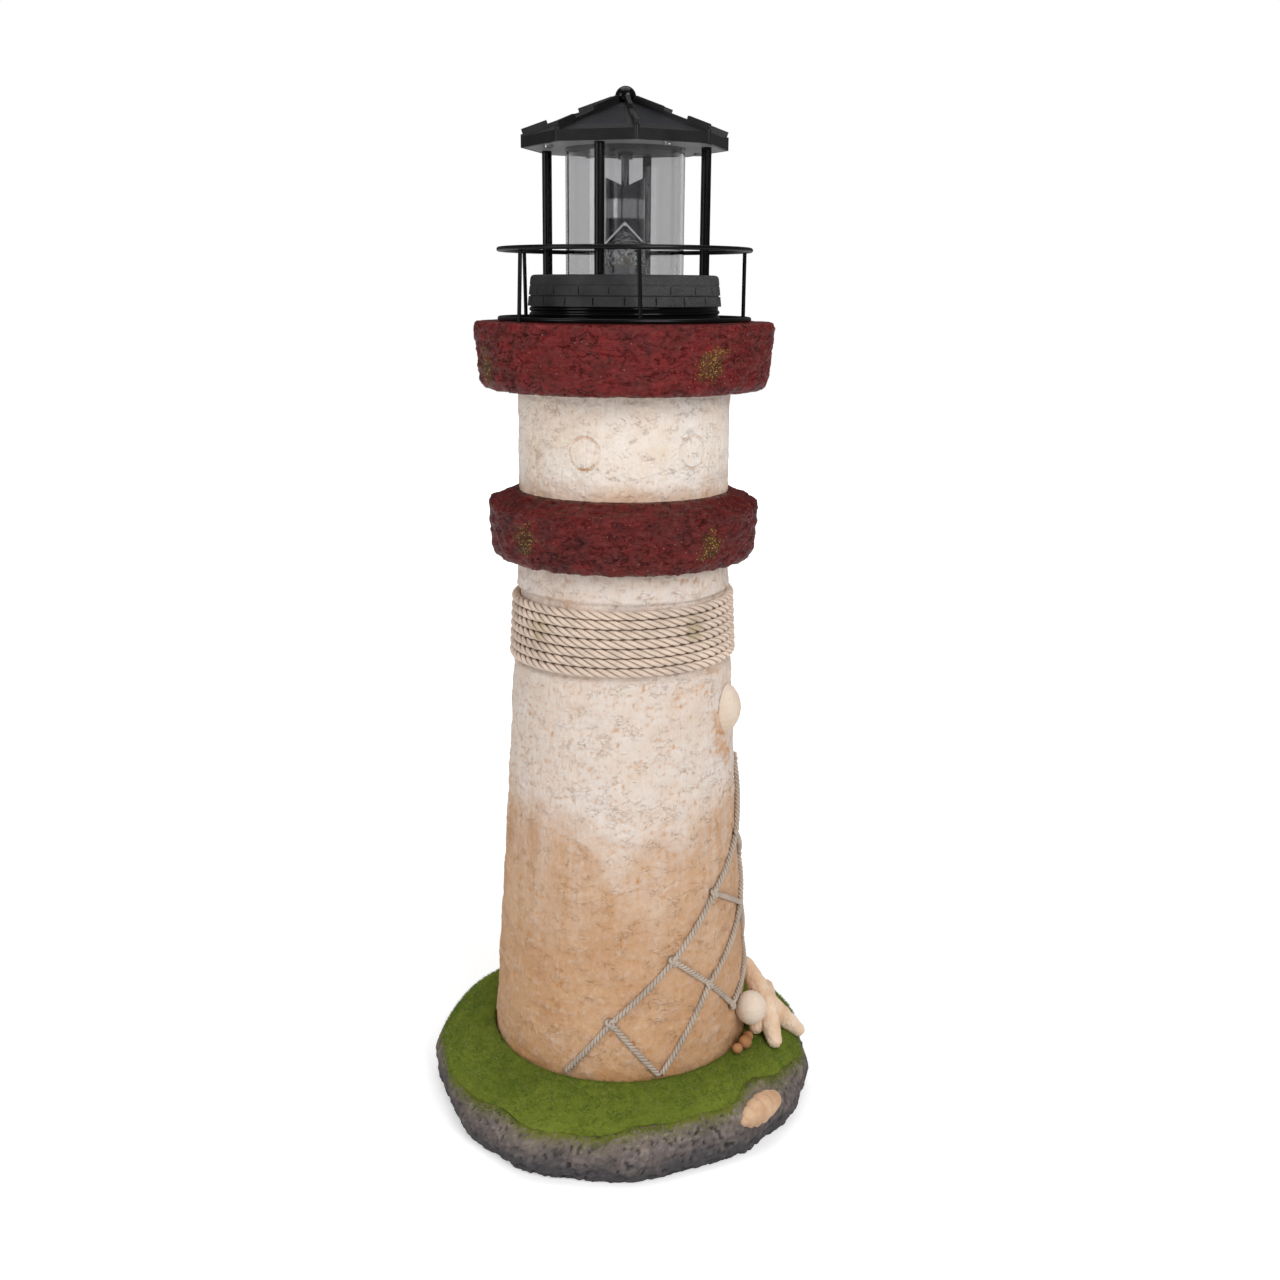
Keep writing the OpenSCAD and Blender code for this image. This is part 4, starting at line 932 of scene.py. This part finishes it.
def moss_fibres(count, length, material):
    """Short fibres that stand on the moss, and thin out over the rock; each darkens towards its root with
    painted shade.
    """
    rng = random.Random(11)
    moss = Surface("moss")
    rock = Surface("rock_base")
    points, faces, shade = [], [], []
    for _ in range(count):
        azimuth = rng.uniform(0, 360)
        radius = math.sqrt(rng.uniform(MOSS_INNER**2, MOSS_OUTER**2))
        spot = place(azimuth, radius, 0)
        hit, normal = moss.top(spot.x, spot.y)
        on_moss = hit is not None
        if not on_moss:
            hit, normal = rock.top(spot.x, spot.y)
            if hit is None:
                continue
            near, _, _, gap = moss.tree.find_nearest(hit)
            if near is None or rng.random() > math.exp(-gap / STRAY_REACH):
                continue
        lean = Vector((rng.gauss(0, 1), rng.gauss(0, 1), rng.gauss(0, 0.4)))
        way = (normal + lean * (0.38 if on_moss else 0.8)).normalized()
        reach = length * rng.uniform(0.6, 1.1)
        side = way.orthogonal().normalized()
        other = way.cross(side)
        base = len(points)
        root = hit - way * FIBRE_ROOT
        for k in range(3):
            turn = 2 * math.pi * k / 3
            points.append(root + (side * math.cos(turn) + other * math.sin(turn)) * FIBRE_HALF)
        points.append(root + way * reach)
        faces.extend((base + k, base + (k + 1) % 3, base + 3) for k in range(3))
        patch = 0.5 + noise.noise(hit / 7)
        pale = rng.random() < (0.03 if on_moss else 0.25)
        tone = 0.1 if pale else min(1.0, max(0.36, rng.gauss(patch + 0.3, 0.25)))
        # Painted shade: the three root points take a low shade value, so each fibre darkens towards the bed.
        shade.extend([min(tone, 0.36)] * 3 + [tone])
    return new_piece("moss_fibres", points, faces, material, "tower", ["moss"], shade)


class LIGHTHOUSE_OT_moss(bpy.types.Operator):
    """Lays the moss round the tower's foot"""

    bl_idname = "lighthouse.moss"
    bl_label = "Moss"

    def execute(self, context):
        sizes = context.scene.lighthouse_sizes
        green = context.scene.lighthouse_colours.moss
        # deep: a darker green, painted as shade at the fibres' roots and in the bed under them.
        deep = tuned(green, 0.3, 0.45, 0.5)
        moss_skin(moss_green("moss_bed", tuned(green, 0.7), deep))
        count = sizes.moss_fibres // 1
        moss_fibres(count, sizes.moss_length / MM, moss_green("moss_fibre", green, deep))
        return {"FINISHED"}


# ---- Rope and net, laid out as in the CAD ----

ROPE_WIDTH = 5.4
ROPE_TURNS = 7
ROPE_START = 150
ROPE_GAP = 0.3
NET_CORD = 3.8
NET_LAY = 9.0
NET_SINK = 0.3  # how far a cord sits in the wash
NET_FOOT = 48
# The knots by row, as azimuth and height, from the corner that the net hangs from; NET_FOOT is no knot.
NET_ROWS = [
    [(97, 232), (118, 200), (140, 162), (163, 122), (185, 84), (203, NET_FOOT)],
    [(73, 191), (96, 164), (118, 128), (140, 88), (160, NET_FOOT)],
    [(48, 162), (77, 139), (97, 100), (117, NET_FOOT)],
    [(24, 125), (43, 102), (60, 77)],
    [(-4, 86), (17, NET_FOOT)],
    [(-24, NET_FOOT)],
]
NET_COLUMNS = 4


class LIGHTHOUSE_OT_rope(bpy.types.Operator):
    """Winds the laid rope round the shaft"""

    bl_idname = "lighthouse.rope"
    bl_label = "Rope"

    def execute(self, context):
        sizes = context.scene.lighthouse_sizes
        shaft = Surface("tower_shaft")
        low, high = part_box("rope_band")
        start_z = low.z / MM + ROPE_WIDTH / 2
        rise = (high.z - low.z) / MM - ROPE_WIDTH
        steps = ROPE_TURNS * 260
        path, outward = [], []
        for i in range(steps + 1):
            azimuth = ROPE_START + 360 * ROPE_TURNS * i / steps
            z = start_z + rise * i / steps
            path.append(place(azimuth, shaft.side_radius(azimuth, z) + ROPE_GAP + ROPE_WIDTH / 2, z))
            outward.append(place(azimuth, 1, 0))
        lay = -sizes.rope_lay / MM
        points, faces, shade = laid_rope(path, outward, ROPE_WIDTH, sizes.rope_strands, lay, 9, 1.2)
        olive = [(-46, 72, start_z + 25, 9), (38, 72, start_z + 27, 9)]
        # The darker colour is painted shade in the grooves between the rope's strands.
        groove_shade = (0.36, 0.235, 0.15)
        material = cord_fibre("rope_fibre", context.scene.lighthouse_colours.rope, groove_shade, olive)
        new_piece("laid_rope", points, faces, material, "tower", ["rope_band"], shade)
        return {"FINISHED"}


def net_path(shaft, knots):
    """A cord's path over the shaft between its knots."""
    steps = 44
    path, outward = [], []
    for (azimuth, z), (next_azimuth, next_z) in zip(knots, knots[1:]):
        for i in range(steps):
            share = i / steps
            a = azimuth + (next_azimuth - azimuth) * share
            height = z + (next_z - z) * share
            path.append(place(a, shaft.side_radius(a, height) + NET_CORD / 2 - NET_SINK, height))
            outward.append(place(a, 1, 0))
    return path, outward


def net_knot(shaft, azimuth, z):
    """A small tied knot on the shaft, wound as a trefoil; its shade value falls towards the shaft, as painted
    shade behind the knot.
    """
    steps, size, cord_r, stand = 60, 1.1, 1.1, 1.6
    middle = place(azimuth, shaft.side_radius(azimuth, z) + stand, z)
    out, across, up = place(azimuth, 1, 0), place(azimuth + 90, 1, 0), Vector((0, 0, 1))
    path = []
    for i in range(steps + 1):
        a = 2 * math.pi * i / steps
        x = math.sin(a) + 2 * math.sin(2 * a)
        y = math.cos(a) - 2 * math.cos(2 * a)
        path.append(middle + size * (across * x + up * y - out * math.sin(3 * a)))
    points, faces = tube(path, [out] * len(path), cord_r, 8)
    # Painted shade: the knot's cord darkens towards the shaft behind it.
    reach = (points - np.array(middle)) @ np.array(out)
    return points, faces, np.clip(0.55 + reach / 3, 0, 1)


class LIGHTHOUSE_OT_net(bpy.types.Operator):
    """Drapes the knotted net over the shaft"""

    bl_idname = "lighthouse.net"
    bl_label = "Net"

    def execute(self, context):
        shaft = Surface("tower_shaft")
        columns = [[row[i] for row in NET_ROWS if len(row) > i] for i in range(NET_COLUMNS)]
        parts = []
        for cord in NET_ROWS[:-1] + columns:
            path, outward = net_path(shaft, cord)
            parts.append(laid_rope(path, outward, NET_CORD, 3, NET_LAY, 7, 1.1))
        for row in NET_ROWS:
            parts.extend(net_knot(shaft, azimuth, z) for azimuth, z in row if z > NET_FOOT)
        points, faces, shade = gather(parts)
        # The darker colour is painted shade in the grooves between the net cord's strands.
        groove_shade = (0.2, 0.135, 0.09)
        material = cord_fibre("net_fibre", context.scene.lighthouse_colours.net, groove_shade)
        new_piece("knotted_net", points, faces, material, "tower", ["net"], shade)
        return {"FINISHED"}


# ---- Starfish, shell and stones ----

# The starfish's centre, and its arms in arm lengths, as in the CAD.
STAR_CENTRE = Vector((99, -15, 63.7))
STAR_ARM = 30
STAR_WAYS = [
    (-0.37, 0.67, 0.59),
    (-0.23, -0.4, -0.42),
    (0.17, -0.73, -0.57),
    (0.82, 0.3, -0.88),
    (0.13, 0.93, -0.13),
]
STAR_ROOT_R, STAR_TIP_R = 8.0, 4.9


def add_ball(form, middle, radius, subdivisions):
    """Adds one ball to a form."""
    spot = Matrix.Translation(middle * MM)
    bmesh.ops.create_icosphere(form, subdivisions=subdivisions, radius=radius * MM, matrix=spot)


def starfish_form():
    """Five round arms of overlapping balls, with small bumps all over."""
    rng = random.Random(5)
    beads, bumps = 16, 9
    form = bmesh.new()
    for way in STAR_WAYS:
        for i in range(beads + 1):
            share = i / beads
            radius = STAR_ROOT_R + (STAR_TIP_R - STAR_ROOT_R) * share**1.4
            spot = STAR_CENTRE + Vector(way) * STAR_ARM * share
            add_ball(form, spot, radius, 3)
            for _ in range(bumps):
                turn = Vector((rng.gauss(0, 1), rng.gauss(0, 1), rng.gauss(0, 1))).normalized()
                add_ball(form, spot + turn * (radius - 0.25), rng.uniform(0.45, 0.8), 1)
    mesh = bpy.data.meshes.new("starfish_form")
    form.to_mesh(mesh)
    form.free()
    return mesh


class LIGHTHOUSE_OT_relief(bpy.types.Operator):
    """Finishes the starfish, the shell and the stones"""

    bl_idname = "lighthouse.relief"
    bl_label = "Starfish, Shell and Stones"

    def execute(self, context):
        star = cast_stone("starfish_cast", (0.86, 0.68, 0.52), (0.72, 0.47, 0.3), 60.0, 0.8, 0.6)
        fused = remeshed("bumpy_starfish", starfish_form(), 0.5, 0.4)
        add_piece("bumpy_starfish", fused, star, "tower", ["starfish"])
        dress(["base_pebble"], cast_stone("shell_cast", (0.7, 0.48, 0.32), (0.55, 0.33, 0.19), 70.0))
        dress(["foot_pebbles"], cast_stone("foot_stone", (0.5, 0.24, 0.1), (0.3, 0.13, 0.05), 80.0))
        cream = cast_stone("tower_stone", (0.8, 0.68, 0.57), (0.7, 0.55, 0.42), 50.0, 0.2, 0.15)
        dress(["tower_pebble"], cream)
        return {"FINISHED"}


# ---- Gallery and lantern ----


class LIGHTHOUSE_OT_gallery(bpy.types.Operator):
    """Finishes the rail, the socket and its rubber ring"""

    bl_idname = "lighthouse.gallery"
    bl_label = "Gallery"

    def execute(self, context):
        wire = moulded("black_wire", (0.005, 0.005, 0.005), (0.003, 0.003, 0.003), 0.25, specular=0.25)
        dress(["gallery_rail"], wire)
        dress(["socket_collar"], moulded("socket_plastic", (0.02, 0.02, 0.021), (0.013, 0.013, 0.014), 0.5))
        dress(["seal_ring"], moulded("seal_rubber", (0.012, 0.012, 0.012), (0.008, 0.008, 0.008), 0.65))
        return {"FINISHED"}


class LIGHTHOUSE_OT_lantern_base(bpy.types.Operator):
    """Finishes the brick ring and cuts the thread of the neck"""

    bl_idname = "lighthouse.lantern_base"
    bl_label = "Lantern Base"

    def execute(self, context):
        material = brick_plastic()
        dress(["lantern_base"], material)
        thread_r, crest, root, pitch = 57.2, 1.1, 0.2, 3.1
        turns, per_turn, runout, start = 2, 120, 12, 40
        top = span("seal_ring")[1] + FLANGE_RISE - 0.8
        last = turns * per_turn
        path, outward, radii = [], [], []
        for i in range(last + 1):
            azimuth = start + 360 * i / per_turn
            taper = min(1.0, i / runout, (last - i) / runout)
            path.append(place(azimuth, thread_r, top - pitch * (turns - i / per_turn)))
            outward.append(place(azimuth, 1, 0))
            radii.append(root + crest * taper)
        points, faces = tube(path, outward, radii, 10)
        new_piece("neck_thread", points, faces, material, "lantern")
        return {"FINISHED"}


class LIGHTHOUSE_OT_light(bpy.types.Operator):
    """Finishes the glass, the bulb and the turning reflector"""

    bl_idname = "lighthouse.light"
    bl_label = "Light and Reflector"

    def execute(self, context):
        # The tube's grey tint is painted shade, standing for darker surroundings seen through the glass.
        dress(["glass_tube"], clear("tube_glass", (0.615, 0.615, 0.62)))
        dress(["bulb_lens"], clear("cut_lens", (0.8, 0.8, 0.81), facets=420.0, bump=1.1, roughness=0.02))
        dress(["bulb_holder"], moulded("holder_plastic", (0.42, 0.42, 0.43), (0.3, 0.3, 0.31), 0.3))
        dress(["led"], moulded("led_resin", (0.75, 0.7, 0.55), (0.6, 0.55, 0.4), 0.25))
        dress(["reflector"], beacon_chrome())
        chrome = moulded("spindle_chrome", (0.2, 0.2, 0.21), (0.1, 0.1, 0.105), 0.16, metallic=1.0)
        dress(["spindle"], chrome)
        return {"FINISHED"}


class LIGHTHOUSE_OT_head(bpy.types.Operator):
    """Finishes the posts, the roof, its plate and cells, and the ball"""

    bl_idname = "lighthouse.head"
    bl_label = "Lantern Head"

    def execute(self, context):
        gloss = moulded("gloss_black", (0.004, 0.004, 0.004), (0.002, 0.002, 0.002), 0.16, specular=0.3)
        roof = moulded("roof_plastic", (0.014, 0.014, 0.015), (0.008, 0.008, 0.009), 0.34, specular=0.35)
        dress(["post_front", "post_right", "post_rear", "post_left", "finial"], gloss)
        dress(["roof_shell"], roof)
        dress(["ceiling_plate"], moulded("lamp_plate", (0.34, 0.34, 0.345), (0.26, 0.26, 0.265), 0.5))
        dress([f"solar_cell_{i}" for i in range(1, 9)], solar_cell())
        return {"FINISHED"}


class LIGHTHOUSE_OT_inner_parts(bpy.types.Operator):
    """Finishes what the lantern holds inside"""

    bl_idname = "lighthouse.inner_parts"
    bl_label = "Inner Parts"

    def execute(self, context):
        steel = moulded("plated_steel", (0.6, 0.6, 0.61), (0.45, 0.45, 0.46), 0.3, metallic=1.0)
        black = moulded("textured_black", (0.02, 0.02, 0.021), (0.013, 0.013, 0.014), 0.6)
        dress(["cover_screws", "ceiling_screws", "battery_contacts", "switch_body", "motor"], steel)
        dress(["battery_cover", "battery_tray", "switch_knob"], black)
        dress(["battery"], moulded("battery_sleeve", (0.05, 0.24, 0.1), (0.035, 0.18, 0.075), 0.3))
        dress(["circuit_board"], moulded("solder_mask", (0.02, 0.13, 0.045), (0.014, 0.09, 0.03), 0.35))
        dress(["lead_wire"], moulded("wire_jacket", (0.4, 0.02, 0.02), (0.3, 0.015, 0.015), 0.45))
        return {"FINISHED"}


# ---- Studio ----

# Each light's name, place and size in metres, and power in watts; all face AIM.
LIGHTS = (
    ("key_light", (0.8, -1.5, 1.3), (1.0, 1.0), 20),
    ("fill_light", (-1.5, -0.9, 0.9), (0.8, 1.4), 8),
    ("top_light", (0.0, 0.2, 1.9), (1.4, 1.4), 11),
)
AIM = Vector((0, 0, 0.33))
WORLD_LEVEL = 0.42
WORLD_LEVEL_IN_GLOSS = 0.1
FLOOR_REACH = 6
LENS = 38.95
LENS_SHIFT = 0.0136


class LIGHTHOUSE_OT_stage(bpy.types.Operator):
    """Sets the floor, the soft light and the camera"""

    bl_idname = "lighthouse.stage"
    bl_label = "Stage"

    def execute(self, context):
        scene = context.scene
        self.floor(scene)
        self.world(scene)
        for light in LIGHTS:
            self.soft_light(scene, *light)
        self.camera(scene)
        scene.view_settings.view_transform = "Standard"
        return {"FINISHED"}

    def floor(self, scene):
        """A pale floor that turns white for the camera away from the ornament, and keeps its shadow."""
        mesh = bpy.data.meshes.new("floor")
        corners = [(x * FLOOR_REACH, y * FLOOR_REACH, 0) for x, y in ((-1, -1), (1, -1), (1, 1), (-1, 1))]
        mesh.from_pydata(corners, [], [(0, 1, 2, 3)])
        floor = bpy.data.objects.new("floor", mesh)
        scene.collection.objects.link(floor)
        material, t, shader = finish("floor_white", roughness=0.9, ior=1.5)
        t.feed(shader.inputs["Base Color"], (0.85, 0.85, 0.85))
        seen = t.add("ShaderNodeLightPath").outputs["Is Camera Ray"]
        gap = t.vector("LENGTH", t.spot())["Value"]
        t.feed(shader.inputs["Emission Strength"], t.times(seen, t.remap(gap, 0.3, 2.5, 0.4, 1.0)))
        t.feed(shader.inputs["Emission Color"], (1, 1, 1))
        mesh.materials.append(material)
        floor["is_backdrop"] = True

    def world(self, scene):
        """A white surrounding for the camera and through glass, and a dimmer one for light and gloss."""
        world = bpy.data.worlds.new("studio")
        world.use_nodes = True
        scene.world = world
        t = Tree(world.node_tree)
        shader = world.node_tree.nodes["Background"]
        rays = t.add("ShaderNodeLightPath").outputs
        seen = t.most(rays["Is Camera Ray"], rays["Is Transmission Ray"])
        unseen = t.remap(rays["Is Glossy Ray"], 0.0, 1.0, WORLD_LEVEL, WORLD_LEVEL_IN_GLOSS)
        t.feed(shader.inputs["Strength"], t.mix(seen, unseen, (1, 1, 1)))
        t.feed(shader.inputs["Color"], (1, 1, 1))

    def soft_light(self, scene, name, location, size, power):
        """A large area light that faces the ornament."""
        lamp = bpy.data.lights.new(name, "AREA")
        lamp.shape = "RECTANGLE"
        lamp.size, lamp.size_y = size
        lamp.energy = power
        holder = bpy.data.objects.new(name, lamp)
        holder.location = location
        holder.rotation_euler = (AIM - Vector(location)).to_track_quat("-Z", "Y").to_euler()
        scene.collection.objects.link(holder)

    def camera(self, scene):
        """The photograph's view."""
        sizes = scene.lighthouse_sizes
        lens = bpy.data.cameras.new("camera")
        lens.lens = LENS
        lens.shift_x = LENS_SHIFT
        holder = bpy.data.objects.new("camera", lens)
        holder.location = (0, -sizes.camera_distance, sizes.camera_height)
        tilt = Matrix.Rotation(math.pi / 2 - sizes.camera_tilt, 3, "X")
        holder.rotation_euler = (tilt @ Matrix.Rotation(sizes.camera_roll, 3, "Z")).to_euler()
        scene.collection.objects.link(holder)
        scene.camera = holder


# ---- Add-on ----

OPERATORS = (
    LIGHTHOUSE_OT_castings,
    LIGHTHOUSE_OT_rock,
    LIGHTHOUSE_OT_moss,
    LIGHTHOUSE_OT_rope,
    LIGHTHOUSE_OT_net,
    LIGHTHOUSE_OT_relief,
    LIGHTHOUSE_OT_gallery,
    LIGHTHOUSE_OT_lantern_base,
    LIGHTHOUSE_OT_light,
    LIGHTHOUSE_OT_head,
    LIGHTHOUSE_OT_inner_parts,
    LIGHTHOUSE_OT_stage,
)


class LIGHTHOUSE_PT_pieces(bpy.types.Panel):
    """Lists the ornament's pieces and values."""

    bl_idname = "LIGHTHOUSE_PT_pieces"
    bl_label = "Garden Lighthouse"
    bl_space_type = "VIEW_3D"
    bl_region_type = "UI"
    bl_category = "Lighthouse"

    def draw(self, context):
        column = self.layout.column()
        for values in (context.scene.lighthouse_sizes, context.scene.lighthouse_colours):
            for key in values.__annotations__:
                column.prop(values, key)
        for operator in OPERATORS:
            column.operator(operator.bl_idname)


CLASSES = (LighthouseColours, LighthouseSizes, *OPERATORS, LIGHTHOUSE_PT_pieces)


def register():
    """Registers the add-on's classes and values."""
    for entry in CLASSES:
        bpy.utils.register_class(entry)
    bpy.types.Scene.lighthouse_colours = PointerProperty(type=LighthouseColours)
    bpy.types.Scene.lighthouse_sizes = PointerProperty(type=LighthouseSizes)


def unregister():
    """Takes the add-on's classes and values away."""
    del bpy.types.Scene.lighthouse_sizes
    del bpy.types.Scene.lighthouse_colours
    for entry in reversed(CLASSES):
        bpy.utils.unregister_class(entry)


def main():
    """Dresses the whole ornament and works out its size."""
    register()
    shader_groups()
    for operator in OPERATORS:
        group, name = operator.bl_idname.split(".")
        getattr(getattr(bpy.ops, group), name)()
    boxes = {"cad": CAD_BOX, "visual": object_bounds()}
    plain = {key: [[float(v) for v in corner] for corner in box] for key, box in boxes.items()}


if __name__ == "__main__":
    main()
